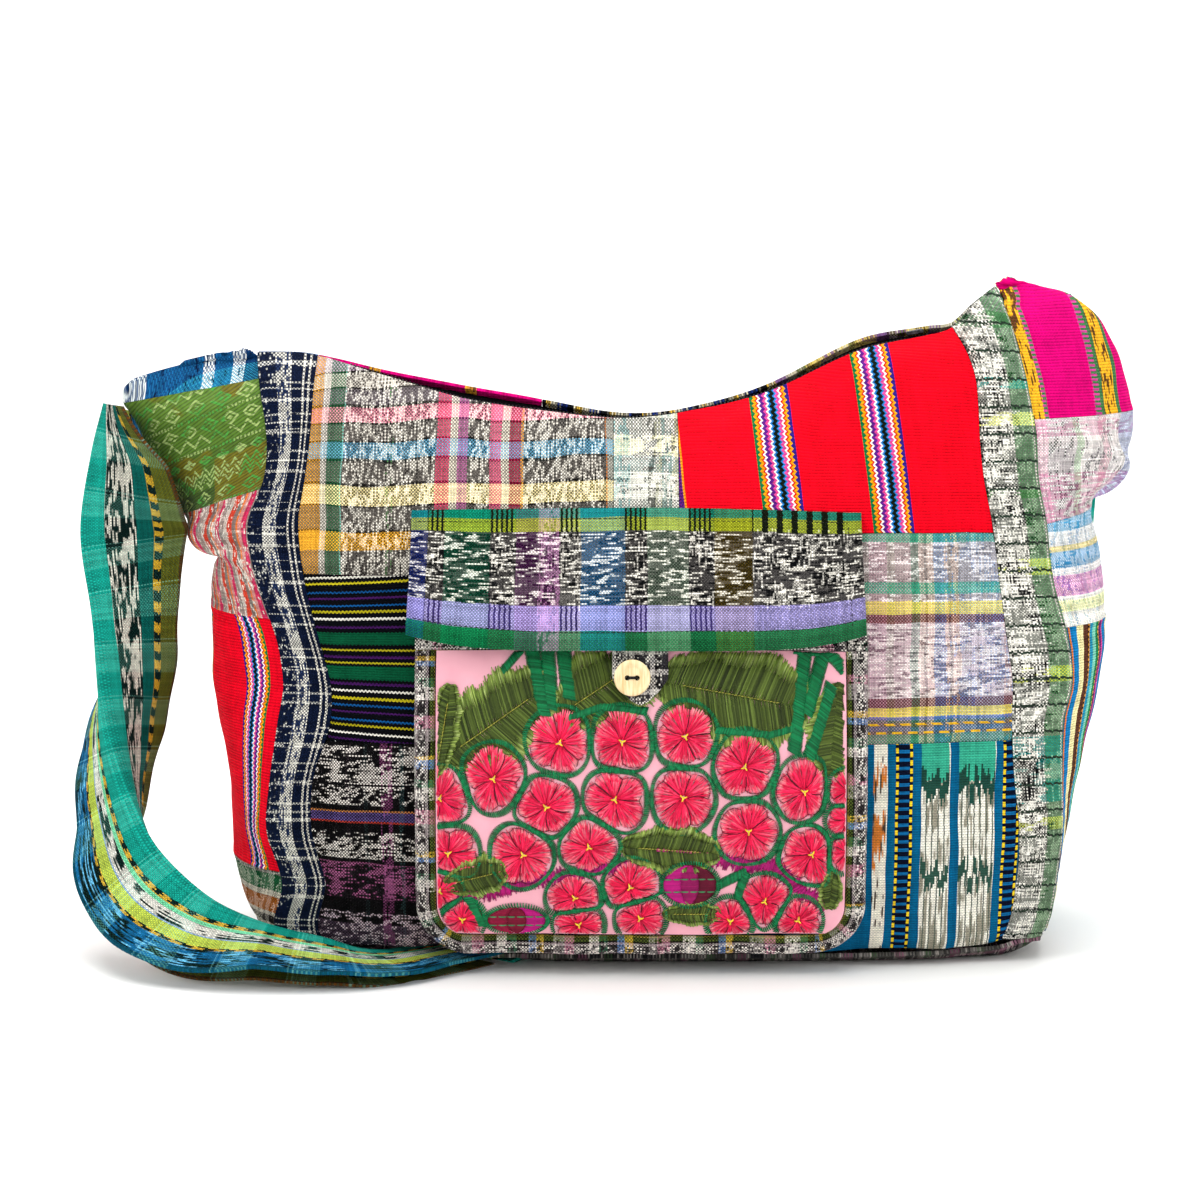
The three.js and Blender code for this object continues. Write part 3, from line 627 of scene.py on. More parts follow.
# Front patches: the lines at their sides, their heights, and the cloth that each is cut from
darkLines = lined(100, "#0d0f17", [
    (199.4, 1.0, "#d9d6cc"), (196.4, 1.1, "#b9ae2a"), (192, 0.8, "#1b5f96"), (189, 1.0, "#4c2260"),
    (185.5, 0.8, "#1b5f96"), (182.5, 1.1, "#b9ae2a"), (179, 1.0, "#e2dfd6"), (175, 1.0, "#4c2260"),
    (169.3, 5.8, "#0b5a3e"), (163.9, 1.0, "#aaa12a"), (160.4, 1.0, "#4c2260"), (157.6, 1.0, "#aaa12a"),
    (152.6, 6.6, "#0b5a3e"), (147.4, 1.0, "#4c2260"), (143.9, 1.0, "#e2dfd6"), (140.2, 1.1, "#b9ae2a"),
    (136.8, 0.8, "#1b5f96"), (133.6, 1.0, "#4c2260"), (129.7, 0.8, "#1b5f96"), (127, 1.1, "#b9ae2a"),
    (123.2, 1.0, "#e2dfd6"), (119.9, 1.0, "#4c2260")])
tealMarks = [
    ikat("v", "#d98a3c", 5, 26, 0.5, (106.6, 113.2), (52, 108)),
    ikat("v", "#5a4a3a", 2, 22, 0.62, (106.6, 113.2))]
for column in ((130.9, 145.5), (150.5, 168.7)):
    tealMarks += [
        ikat("v", "#a39d8b", 1.2, 30, 0.55, column),
        bars("u", "#6d7364", 3.1, 0.2, (0, 106), column, on="v", jitter=0.3),
        band("v", "#49b093", column, (101, 130), jitter=7),
        band("v", "#2f5443", column, (91, 102), jitter=12),
        band("v", "#41604f", column, (45, 54), jitter=14)]
for edge in (117.8, 172.8):
    tealMarks += [
        band("v", "#0c1730", (edge, edge + 8.8), on="both"),
        bars("v", "#1a6fa0", 4.2, 0.4, (edge + 1.7, edge + 7.1), on="both", jitter=0),
        bars("v", "#e8cb3a", 4.2, 0.62, (edge + 0.1, edge + 1.5), on="both", jitter=0),
        bars("v", "#e8cb3a", 4.2, 0.62, (edge + 7.3, edge + 8.7), on="both", shift=2, jitter=0)]
frontPatches = {
    "front_left_strip": {
        "left": "leftSeam", "right": "leftStrip", "low": 10, "high": None, "slot": "navy_check", "strip": 25,
        "warp": [(0, navy), (7.6, "#ece9df"), (14.4, navy), (19.6, cream), (20.7, navy), (22.2, cream),
                 (23.3, navy)],
        "weft": scattered(3, 0, 350, [(navy, 2, 5), ("#dcdad2", 0.8, 1.0), (navy, 2, 4),
                                      ("#dcdad2", 0.8, 1.0), (navy, 5, 11), ("#dcdad2", 1.2, 2.4)]),
        "share": 0.44,
        "marks": [ikat("u", "#101a30", 1.6, 12, 0.57), ikat("v", "#d5d4cc", 1.6, 4, 0.64, (0, 7.6)),
                  ikat("v", "#33456a", 2.4, 6, 0.58, (7.6, 14.4))]},
    "front_upper_plaid": {
        "left": "leftStrip", "right": -23, "low": 201, "high": None, "slot": "rose_plaid",
        "warp": [(-190, "#dda543"), (-171.3, "#e6e0d4"), (-168.3, "#2f6f4a"), (-161.3, "#86cdbb"),
                 (-160.3, "#5d5854"), (-138.3, "#5f9058"), (-137.2, "#5d5854"), (-135.8, "#5f9058"),
                 (-134.8, "#5d5854"), (-114, "#dd4b76"), (-107.2, "#efe6d4"), (-103.2, "#c06fa4"),
                 (-97.7, "#5d5854"), (-86.1, "#e2628a"), (-80.6, "#f1e8d6"), (-76.6, "#b01a50"),
                 (-70.3, "#e2a34a"), (-69.5, "#57534f"), (-27.6, "#dd8a35"), (-26.6, "#b3b4aa")],
        "weft": [(190, "#6d6863"), (212.6, "#f0b840"), (222, "#24211f"), (223, "#77726c"), (234, "#24211f"),
                 (235, "#f1e2ab"), (244.4, "#24211f"), (245.6, "#77726c"), (256, "#24302f"),
                 (257, "#74aec8"), (265, "#24211f"), (266, "#807b76"), (273.5, "#24211f"),
                 (274.5, "#e69aaa"), (281.6, "#24211f"), (282.6, "#877e83"), (290, "#24211f"),
                 (291, "#cbc4ba"), (298, "#24211f"), (299, "#b9a9b4")],
        "swing": 2.5,
        "marks": [ikat("v", cream, 1.3, 6, 0.47, span, jitter=8)
                  for span in ((-160, -114), (-97.5, -86.3), (-69, -28))]
                 + [ikat("v", "#262322", 1.6, 7, 0.6, span, jitter=8)
                    for span in ((-160, -114), (-97.5, -86.3), (-69, -28))]},
    "front_pale_plaid": {
        "left": -23, "right": 10, "low": 201, "high": None, "slot": "pale_plaid",
        "warp": [(-30, "#b4d3d0"), (-14.8, "#e4e5dc"), (-5.8, "#6f706a"), (-2, "#d6d5bd"), (1.3, "#9fb4ae"),
                 (6.5, "#c9c6a9")],
        "weft": [(195, "#cfe3e0"), (215, "#f0eab0"), (224, "#74766f"), (236, "#e3e2d6"), (249, "#7d918e"),
                 (257, "#efeac4"), (267, "#6b6b65"), (275, "#cfcdbf")],
        "marks": [ikat("v", "#f6f3ea", 1.4, 8, 0.5, jitter=8), ikat("u", "#4d4f4c", 1.4, 7, 0.6)]},
    "front_red_stripe": {
        "left": 10, "right": "rightStrip", "low": 222, "high": None, "slot": "red_rib", "slant": 0.1,
        "warp": [(-40, "#3b2a86"), (11.2, "#e3a424"), (12.4, "#ee0a2c")], "weft": [(0, "#c40622")],
        "rib": 1.5, "share": 0.16, "contrast": 0.3, "fade": 0.1,
        "marks": [rainbowBand(50), rainbowBand(104)]},
    "front_right_strip": {
        "left": "rightStrip", "right": "rightSeam", "low": 10, "high": None, "slot": "grey_green_ikat",
        "strip": 27,
        "warp": [(-2, "#a6a69f"), (16.5, "#5d9162"), (25.6, "#e4e0d6"), (26.4, "#5d9162")],
        "weft": [(0, "#85877f"), (71, "#d2d774"), (77.5, "#85877f"), (85, "#2f9a94"), (97, "#6f9f96"),
                 (104, "#2f9a94"), (119, "#85877f"), (147, "#cdd35f"), (154.6, "#85877f"), (200, "#cfd663"),
                 (208, "#7c7e77"), (238, "#5b8a57"), (243, "#7c7e77"), (274, "#eaea92"), (281, "#85877f"),
                 (292, "#39aaa2"), (298, "#8d9089"), (322, "#56805b"), (330, "#8d9089")],
        "share": 0.52, "swing": 2,
        "marks": [ikat("u", "#f6f3ea", 3.4, 13, 0.49, None, (-2, 16.5), jitter=8),
                  ikat("v", "#f6f3ea", 2.2, 9, 0.47, (-2, 16.5), jitter=8),
                  ikat("u", "#17191c", 3.8, 14, 0.58, None, (-2, 19), jitter=8),
                  ikat("v", "#17191c", 2.6, 9, 0.62, (-2, 16.5), jitter=8),
                  ikat("v", "#a4c9a0", 6, 8, 0.52, (16.5, 25.6)),
                  bars("v", "#3b4a3f", 13.5, 0.09, on="both", jitter=1.5)]},
    "front_dark_stripe": {
        "left": "leftStrip", "right": 2, "low": 118, "high": 201, "slot": "dark_stripe",
        "fan": (-165, 160, 0.0013),
        "warp": [(-200, "#0d0f17")], "weft": [(100, "#0d0f17")], "rib": 1.2, "fade": 0.12,
        "marks": [dye("zigzag", "u", None, (90, 210), on="both", period=1.9, sway=0.6,
                      stripes=darkLines)]},
    "front_black_plaid": {
        "left": "leftStrip", "right": 2, "low": 10, "high": 118, "slot": "black_ikat",
        "fan": (-165, 90, 0.0006),
        "warp": [(-200, "#1f1c1f"), (-158, "#3a3137"), (-156, "#1f1c1f"), (-149, "#303a3c"),
                 (-147, "#1f1c1f"), (-140, "#8a4f78"), (-134.5, "#1f1c1f"), (-131, "#3b5152"),
                 (-128, "#1f1c1f"), (-100, "#8a4f78"), (-94, "#1f1c1f"), (-40, "#8a4f78"),
                 (-34, "#1f1c1f")],
        "weft": [(0, "#5c4a5c"), (24, "#161416"), (37, "#b06c94"), (55.4, "#161416"), (76.9, "#c04a3a"),
                 (77.8, "#6d5c94"), (82.4, "#c98a54"), (83.6, "#161416")],
        "share": 0.52, "contrast": 0.8, "swing": 2,
        "marks": [ikat("u", "#ece5de", 1.3, 6, 0.49, (97, 116)),
                  ikat("u", "#ece5de", 1.3, 5, 0.5, (86, 96)), ikat("u", "#ece5de", 1.3, 5, 0.51, (58, 72)),
                  ikat("u", "#2a2228", 1.8, 7, 0.5, (37, 55.4)),
                  ikat("u", "#d8c3cd", 1.2, 5, 0.54, (10, 30)), ikat("v", "#0b0a0c", 1.6, 12, 0.55)]},
    "front_pastel_plaid": {
        "left": 10, "right": "rightStrip", "low": 118, "high": 222, "slot": "pastel_plaid",
        "warp": [(0, "#c9b5b2"), (104, "#d6a9b8"), (113, "#b7a49c"), (117, "#d0b2b6"), (125, "#7fa08c"),
                 (129.5, "#ecd2c6"), (132, "#a08c84"), (133.4, "#ecd2c6"), (136.9, "#7d9ac4"),
                 (142, "#ecd2c6"), (144, "#968c89"), (145.5, "#ecd2c6"), (149.4, "#c3c7da"),
                 (172, "#b9a0a6")],
        "weft": [(110, "#138a63"), (122.6, "#3d4a26"), (124.4, "#245f7a"), (126.4, "#4d5020"),
                 (128.6, "#1d5a40"), (130, "#4a74b0"), (131.6, "#ecdb48"), (136.2, "#5c1822"),
                 (141.2, "#cdbcc2"), (178, "#6d2a24"), (182, "#efe060"), (188.6, "#b5aca6"),
                 (192.4, "#1fa585"), (198, "#a9a29f"), (217.4, "#1fa384")],
        "share": 0.64, "contrast": 0.5, "swing": 3,
        "marks": [ikat("u", "#f4ecea", 1.5, 9, 0.49, (141.2, 178)),
                  ikat("u", "#7d6f78", 1.3, 8, 0.6, (141.2, 178)),
                  ikat("u", "#4f4a4c", 1.5, 8, 0.5, (188.6, 217.4)),
                  ikat("u", "#f4efec", 1.5, 8, 0.54, (188.6, 217.4)), band("u", "#1fa585", (192.4, 198)),
                  bars("u", "#e9bb3a", 8, 0.62, (127.4, 128.5), on="both", jitter=2),
                  bars("u", "#e9bb3a", 8, 0.62, (123.2, 124.3), on="both", shift=4, jitter=2),
                  ikat("v", "#8ba8d6", 5, 9, 0.56, (137, 178))]},
    "front_teal_ikat": {
        "left": 2, "right": "rightStrip", "low": 10, "high": 118, "slot": "teal_ikat",
        "warp": [(0, "#0c6a90"), (106.4, "#ebe5d6"), (113.4, "#0c6a90"), (130.8, "#eeeade"),
                 (145.6, "#0c6a90"), (150.4, "#eeeade"), (168.8, "#0c6a90")],
        "weft": [(0, "#0a5575")], "share": 0.1, "contrast": 0.2, "rib": 1.3, "fade": 0.14,
        "marks": tealMarks},
}

# Back patches, plainer
backPatches = {
    "back_left_strip": {
        "left": "leftSeam", "right": "leftStrip", "low": 10, "high": None, "slot": "blue_plaid", "strip": 25,
        "warp": [(0, "#3b5f92"), (8, "#d9dfe2"), (15, "#3b5f92"), (20, "#86a8c4")],
        "weft": scattered(5, 0, 350, [("#4a6fa0", 8, 12), ("#dfe4e4", 2, 4)]),
        "marks": [ikat("v", "#23385c", 1.8, 10, 0.55)]},
    "back_upper_left": {
        "left": "leftStrip", "right": -60, "low": 165, "high": None, "slot": "magenta_ikat",
        "warp": [(-230, "#d10a80"), (-150, "#e4b52c"), (-144, "#d10a80"), (-100, "#e4b52c"),
                 (-94, "#d10a80")],
        "weft": [(0, "#b0086c")], "rib": 1.4, "share": 0.2, "contrast": 0.3,
        "marks": [ikat("v", "#6a5a18", 1.8, 10, 0.58, span)
                  for span in ((-150, -144), (-100, -94))]},
    "back_upper_mid": {
        "left": -60, "right": 60, "low": 165, "high": None, "slot": "indigo_stripe",
        "warp": scattered(8, -70, 70, [("#24408a", 5, 9), (black, 3, 6), ("#d9b64e", 2, 4),
                                       ("#cfc9b4", 2, 4)]),
        "weft": [(0, "#20242c")], "share": 0.35, "marks": [ikat("v", "#e0d8bd", 2, 10, 0.58)]},
    "back_upper_right": {
        "left": 60, "right": "rightStrip", "low": 165, "high": None, "slot": "ochre_plaid",
        "warp": scattered(9, 50, 200, [("#d8c26a", 8, 14), ("#8a6a9a", 5, 8), ("#c9c4b0", 4, 8),
                                       ("#6a7a3c", 3, 5)]),
        "weft": scattered(10, 150, 350, [("#d9c884", 9, 14), ("#7d5a86", 4, 8), ("#b9b49c", 6, 9)]),
        "marks": [ikat("u", "#54442f", 1.8, 10, 0.58)]},
    "back_right_strip": {
        "left": "rightStrip", "right": "rightSeam", "low": 10, "high": None, "slot": "grey_green_ikat",
        "strip": 27,
        "warp": [(-2, "#9b9b94"), (16.5, "#55815a")],
        "weft": scattered(11, 0, 350, [(grey, 22, 34), ("#cdd36f", 5, 7), (grey, 14, 22),
                                       ("#2f8f8b", 5, 9)]),
        "marks": [ikat("v", cream, 2.2, 10, 0.48, jitter=8), ikat("u", "#23262a", 3, 10, 0.58)]},
    "back_lower_left": {
        "left": "leftStrip", "right": 0, "low": 10, "high": 165, "slot": "green_stripe",
        "warp": scattered(12, -200, 10, [("#2a7458", 12, 18), ("#173f35", 3, 5), ("#c8c24a", 1.5, 2.5),
                                         ("#245f86", 5, 8)]),
        "weft": [(0, "#1d4a3e")], "share": 0.3, "rib": 1.3, "marks": [ikat("v", "#dfe2d4", 4, 18, 0.6)]},
    "back_lower_right": {
        "left": 0, "right": "rightStrip", "low": 10, "high": 165, "slot": "crimson_stripe",
        "warp": scattered(13, -5, 210, [("#9a2236", 14, 20), ("#3a1a2c", 3, 5), ("#d98a9a", 3, 5),
                                        ("#4a4a52", 4, 7)]),
        "weft": scattered(14, 0, 170, [("#8c2f3c", 12, 18), ("#4a3038", 3, 6)]),
        "share": 0.4, "marks": [ikat("u", "#e3cfc8", 1.8, 10, 0.6)]},
}


def cutFrom(node, patch):
    parts = ("warp", "weft", "marks", "share", "contrast", "rib", "swing", "fade")
    return weave(node + "_cloth", **{part: patch[part] for part in parts if part in patch})


def panelGrid(patch, top, cell=2.3, hair=0.12, crownRows=34):
    def line(which, z):
        return seamLines[which](z) if isinstance(which, str) else np.full(np.shape(z), float(which))

    low = patch["low"]
    high = patch["high"] or bag["crown"]
    middle = line(patch["right"], 150.0) - line(patch["left"], 150.0)
    shares = np.linspace(0, 1, int(max(middle / cell, 8)) + 1)
    heights = np.linspace(low + hair, high - (hair if patch["high"] else 0), int((high - low) / cell) + 1)
    left = line(patch["left"], heights) + hair
    right = line(patch["right"], heights) - hair
    x = mixed(left[:, None], right[:, None], shares[None, :])
    z = np.repeat(heights[:, None], len(shares), axis=1)
    if low == bag["foot"]:
        z = z + (footHeight(x) - bag["foot"]) * np.clip(1 - (z - bag["foot"]) / bag["footFade"], 0, 1)
    if patch["high"] is None:
        steps = np.linspace(0, 1, crownRows)[1:]
        ends = []
        for which in (patch["left"], patch["right"]):
            at = line(which, np.float64(high))
            ends.append(line(which, mixed(high, top(at) - bag["topGap"], steps)))
        crownX = mixed((ends[0] + hair)[:, None], (ends[1] - hair)[:, None], shares[None, :])
        crownZ = mixed(high, top(crownX) - bag["topGap"], steps[:, None])
        x = np.concatenate([x, crownX])
        z = np.concatenate([z, crownZ])
    return x, z, np.repeat(shares[None, :], len(x), axis=0)


def sewPanel(node, patch, surface, top, side):
    x, z, shares = panelGrid(patch, top)
    if side > 0:
        x, z, shares = x[:, ::-1], z[:, ::-1], shares[:, ::-1]
    points = surface(x, z)
    normals = facing(surface, x, z, 0.5, -side)
    edges = ["left", "right", "low"] + (["high"] if patch["high"] else [])
    lift = relief(points, edges, 4, wrinkle=bag["panelWrinkle"])
    if patch["high"] is None:
        lift = lift * np.clip((top(x) - z) / 8, 0.1, 1)
    u = shares * patch["strip"] if "strip" in patch else x + patch.get("slant", 0) * (z - 250)
    v = z
    if "fan" in patch:
        startX, level, spread = patch["fan"]
        v = z - (x - startX) * (z - level) * spread
    shaped = points + normals * lift[..., None]
    pattern = np.stack([u, v], -1)
    if patch["low"] == bag["foot"] and points[..., 0].min() > -5:
        shaped, pattern = turnUnder(shaped, normals, pattern)
    material = cutFrom(node, patch)
    sewSheet(node, patch["slot"], material, shaped, pattern, bag["wall"], points)


for node, patch in frontPatches.items():
    sewPanel(node, patch, frontPoint, topEdge, -1)
for node, patch in backPatches.items():
    sewPanel(node, patch, backPoint, backTop, 1)
print("front and back patches sewn")

# Side gussets and shoulders: rows of the gusset's table, and the span from the front seam, -1, to the back, 1
ladders = [(6.4, 8.6), (37, 41), (92, 94)]
gussetPatches = {
    "gusset_left_foot": {
        "side": "left", "rows": (0, 1.6), "across": (-1, 1), "slot": "grey_check",
        "warp": scattered(21, -5, 170, [("#6f6c68", 6, 9), (black, 3, 5), ("#c9c4bc", 2, 4)]),
        "weft": [(0, "#b0487c"), (13, black), (17, "#cfc8b8"), (19, black), (23, "#d0cabc"),
                 (25, "#c77a35"), (33, "#e2dccb"), (36, "#2c7d52"), (45, "#8d8a84"), (47, "#4a4845")],
        "share": 0.62, "swing": 2, "marks": [ikat("v", "#e6e0d2", 1.6, 6, 0.52)]},
    "gusset_left_red": {
        "side": "left", "rows": (1.6, 6), "across": (-1, 1), "slot": "red_rib",
        "warp": [(-5, "#e60a30"), (200, "#e60a30")], "weft": [(0, "#b40624")], "rib": 1.5,
        "share": 0.16, "contrast": 0.3, "fade": 0.1,
        "marks": [rainbowBand(8, 0.85), rainbowBand(62, 0.9), rainbowBand(106, 0.9)]},
    "gusset_left_coral": {
        "side": "left", "rows": (6, 10), "across": (-1, 1), "slot": "coral_stripe", "wrinkle": 1.6,
        "crease": (8.4, 1.8, -0.4, 0.45, 3.0),
        "warp": scattered(23, -4, 190, [("#a39c96", 3, 5), ("#dd2a6e", 2.4, 3.6), ("#d9a19b", 1.5, 2.6),
                                        ("#f08a3a", 1.2, 2), ("#8d8782", 2, 3.4), ("#d8472c", 3, 4.2),
                                        ("#d6cdc3", 1.5, 2.4)]),
        "weft": scattered(24, 150, 260, [("#b4786f", 6, 10), ("#8e8781", 2, 3), ("#d9cfc4", 0.8, 1.4)]),
        "share": 0.2, "contrast": 0.36, "swing": 4, "marks": [ikat("v", "#efe8df", 1.2, 4, 0.62)]},
    "shoulder_left_brocade": {
        "side": "left", "rows": (10, 13), "across": (-1, 0.4), "slot": "green_brocade", "wrinkle": 1.3},
    "shoulder_left_back": {
        "side": "left", "rows": (10, 13), "across": (0.4, 1), "slot": "blue_plaid",
        "warp": scattered(25, -4, 140, [("#1d3c66", 7, 10), ("#dde3e4", 3, 4), ("#2a6f93", 5, 8)]),
        "weft": scattered(26, 200, 330, [("#23466f", 9, 12), ("#dfe5e6", 3, 4)]),
        "marks": [ikat("v", "#9fc3cf", 1.8, 10, 0.58)]},
    "shoulder_left_plaid": {
        "side": "left", "rows": (13, 16), "across": (-1, 1), "slot": "blue_plaid", "alongTop": True,
        "warp": [(-4, "#1b4a78"), (10, "#eef2f0"), (14.5, "#1b4a78"), (20, "#3d9cb8"), (32, "#1b4a78"),
                 (36, "#eef2f0"), (41, "#3d9cb8"), (60, "#1b4a78"), (70, "#eef2f0"), (76, "#1c4a76")],
        "weft": [(-20, "#17436f"), (8, "#f2f4f2"), (14.5, "#2672a0"), (24, "#f2f4f2"), (30, "#2672a0"),
                 (60, "#e6ecec"), (80, "#1b4674")],
        "share": 0.55, "marks": [ikat("u", "#0c1f3e", 1.4, 6, 0.64)]},
    "gusset_right_stripe": {
        "side": "right", "rows": (0, 6), "across": (-1, 1), "slot": "blue_stripe",
        "warp": [(-4, "#3a6a8c"), (1.2, "#d9832e"), (2.4, "#1787bf"), (7.4, "#f2e8b4"), (12.4, "#6a3d22"),
                 (17.2, "#e3a53c"), (18.4, "#2f9fc0"), (22, "#8fd3bd"), (25.6, "#1f8f5a"),
                 (29.4, "#d9a53c"), (30.6, "#7a2c7c"), (33.6, "#d94a9a"), (36, "#1787bf"), (46, "#f2e8b4"),
                 (52, "#6a3d22"), (58, "#2f9fc0"), (64, "#1f8f5a"), (70, "#7a2c7c"), (74, "#1787bf"),
                 (90, "#f2e8b4"), (96, "#6a3d22"), (102, "#1f8f5a"), (110, "#1787bf")],
        "weft": [(0, "#3a5560")], "share": 0.14, "contrast": 0.28, "rib": 1.3,
        "marks": [bars("v", "#2b1a16", 2.6, 0.4, span, on="both", jitter=1)
                  for span in ((17.2, 18.4), (29.4, 30.6))]},
    "gusset_right_plaid": {
        "side": "right", "rows": (6, 8), "across": (-1, 1), "slot": "lilac_plaid", "wrinkle": 1.5,
        "warp": scattered(28, -4, 190, [("#c6d4de", 3, 5), ("#efebe6", 4, 6), ("#9cc0d4", 2, 4),
                                        ("#b5b1b4", 1.5, 3)]),
        "weft": [(150, "#f4f1e4"), (181, "#e8ea9c"), (187, "#f4f1e4"), (189, "#d06ab4"), (199, "#f0eae8"),
                 (203, "#2f97c4"), (211, "#efd96a"), (214, "#e4e6e6"), (221, "#4fb0d8"), (229, "#8fa2d8"),
                 (236, "#efe8e6")],
        "share": 0.6, "marks": [ikat("v", "#ffffff", 1.6, 5, 0.44), ikat("v", "#5f9fcc", 1.6, 6, 0.64)]},
    "gusset_right_pale": {
        "side": "right", "rows": (8, 11), "across": (-1, 1), "slot": "pink_grey_plaid", "wrinkle": 2.0,
        "crease": (9.4, -2.0, -0.35, 0.4, 5.0),
        "warp": [(-4, "#e3b3c6"), (6, "#c9c0c2"), (22, "#a5c49c"), (26, "#e9e2e0"), (38, "#d9a6b4"),
                 (44, "#dcd6d6"), (54, "#a7b6dc"), (60, "#8fa6d4"), (78, "#d9cbd4"), (100, "#c8bfc2")],
        "weft": [(200, "#e3a9c4"), (240, "#dba3bd"), (250, "#c9c4c4"), (262, "#e8e1de"), (268, "#e3b3c6"),
                 (276, "#efe2e6")],
        "marks": [ikat("v", black, 2.2, 7, 0.59, (6, 54), jitter=8), ikat("u", "#f8f5f2", 1.6, 8, 0.5),
                  ikat("v", "#4f6fae", 1.5, 6, 0.5, (54, 78))]},
    "shoulder_right_magenta": {
        "side": "right", "rows": (11, 16), "across": (-1, 1), "slot": "magenta_ikat",
        "warp": [(-4, "#efc128"), (6.4, "#1f8a55"), (8.6, "#d8067f"), (37, "#1f8a55"), (43, "#efc128"),
                 (51, "#1f8a55"), (54, "#d8067f"), (92, "#1f8a55"), (94, "#efc128"), (102, "#d8067f")],
        "weft": [(250, "#b8066c")], "share": 0.14, "contrast": 0.28, "rib": 1.5, "fade": 0.1,
        "marks": [ikat("v", "#5d5216", 1.8, 9, 0.56, span)
                  for span in ((-4, 6.4), (43, 51), (94, 102))]
                 + [bars("v", "#c9559a", 2.4, 0.5, span, on="both", jitter=0.4)
                    for span in ladders]},
}


# Green brocade: rows of diamonds, chevrons and dots laid in with raised pale yarns, level with the top seam
def brocade(name):
    cloth = Finish(name)
    u, v = cloth.clothPlace()
    level = v + u * 0.34
    ground = cloth.stripes(level, [(200, "#3c5716"), (252, "#4d6d1c"), (272, "#557a22"), (290, "#5f842a")])
    ochre = (u < 30) * (level < 266) + cloth.noise(u, v, 0.05).step(0.66, 0.06)
    ground = cloth.blend(cloth.add("ShaderNodeClamp", {}, {0: ochre}), ground, tint("#6f6a0a"))
    rows = [("dots", 243, 2.1, 0), ("diamond", 248, 15, 3.6), ("zigzag", 255, 6, 4), ("zigzag", 258, 6, 4),
            ("zigzag", 261, 6, 4), ("diamond", 267, 10, 2.4), ("dots", 272, 2.1, 0), ("zigzag", 277, 9, 4.5),
            ("diamond", 283, 12, 3.4), ("dots", 288, 2.1, 0), ("diamond", 293, 14, 3.8),
            ("zigzag", 300, 7, 3)]
    pattern = None
    for kind, middle, period, size in rows:
        beat = abs((u / period).fract() - 0.5)
        rise = level - middle
        if kind == "dots":
            drawn = (abs(rise) < 0.75) * (beat < 0.3)
        elif kind == "zigzag":
            drawn = abs(rise - (beat * 2 - 0.5) * size) < 0.8
        else:
            span = beat * (period * 0.75) + abs(rise) * 1.2
            drawn = (span < 1.3) + (abs(span - size) < 0.8)
        pattern = drawn if pattern is None else pattern.maths("MAXIMUM", drawn)
    pattern = pattern * cloth.noise(u / 3.5, v / 1.6).step(0.4, 0.08)
    bright = cloth.noise(u, v, 0.06, 0.0).step(0.56, 0.06)
    pale = cloth.blend(bright, tint("#a6bf6e"), tint("#4aa03a"))
    twill = abs(((u * 0.6 + v) * (math.pi / 1.7)).wave())
    colour = cloth.blend(pattern, ground, pale)
    # Painted shade: the twill's grooves are painted darker and its ridges lighter, with a random mottle over
    # them
    tone = twill * 0.45 + cloth.noise(u, v, 0.3, 2.0) * 0.4 + 0.22
    colour = cloth.blend(1.0, colour, tone, "MULTIPLY")
    return cloth.surface(colour, 0.7, twill * 0.6 + pattern * 0.9, 0.8, 0.0007, 0.1)


def sewGusset(node, patch, hair=0.006, endHair=0.01, fineRows=11, fineColumns=36):
    left = patch["side"] == "left"
    surface = leftGusset if left else rightGusset
    first, last = patch["rows"]
    start, end = patch["across"]
    rows = np.linspace(first + hair, last - hair, int((last - first) * fineRows) + 2)
    columns = int((end - start) * fineColumns)
    startGap = endHair if start > -1 else 0
    endGap = endHair if end < 1 else 0
    across = np.linspace(start + startGap, end - endGap, columns)
    row, place = np.meshgrid(rows, across[::-1] if left else across, indexing="ij")
    points = surface(row, place)
    normals = facing(surface, row, place, 0.01, -1 if left else 1)
    wrinkle = patch.get("wrinkle", bag["gussetWrinkle"])
    lift = relief(points, ["left", "right", "low", "high"], 6, sink=0.9, wrinkle=wrinkle)
    if "crease" in patch:
        level, slope, middle, width, depth = patch["crease"]
        lift = lift - depth * np.exp(-((row - level - slope * (place - middle)) / width) ** 2)
    lift = lift * np.clip((1.02 - np.abs(place)) / 0.2, 0.25, 1)
    runs = edgeRuns(points)["left"]
    u = runs[:, -1:] - runs if left else runs
    v = points[..., 2]
    if patch.get("alongTop"):
        u, v = points[..., 1] + 62, points[..., 0] * -1 - 205
        u = u + (309 - points[..., 2]) * 0.5
    shaped = points + normals * lift[..., None]
    pattern = np.stack([u, v], -1)
    material = cutFrom(node, patch) if "warp" in patch else brocade(node + "_cloth")
    sewSheet(node, patch["slot"], material, shaped, pattern, bag["wall"], points)


for node, patch in gussetPatches.items():
    sewGusset(node, patch)
print("gussets sewn")

# Base panel, inside the rolled edges, lifted where the strap passes under it
base = {"wall": 2, "overlap": 0.9, "lift": 6.8, "plateau": 44, "falloff": 24, "strapX": -75, "swing": 45,
        "from": -10, "run": 60}


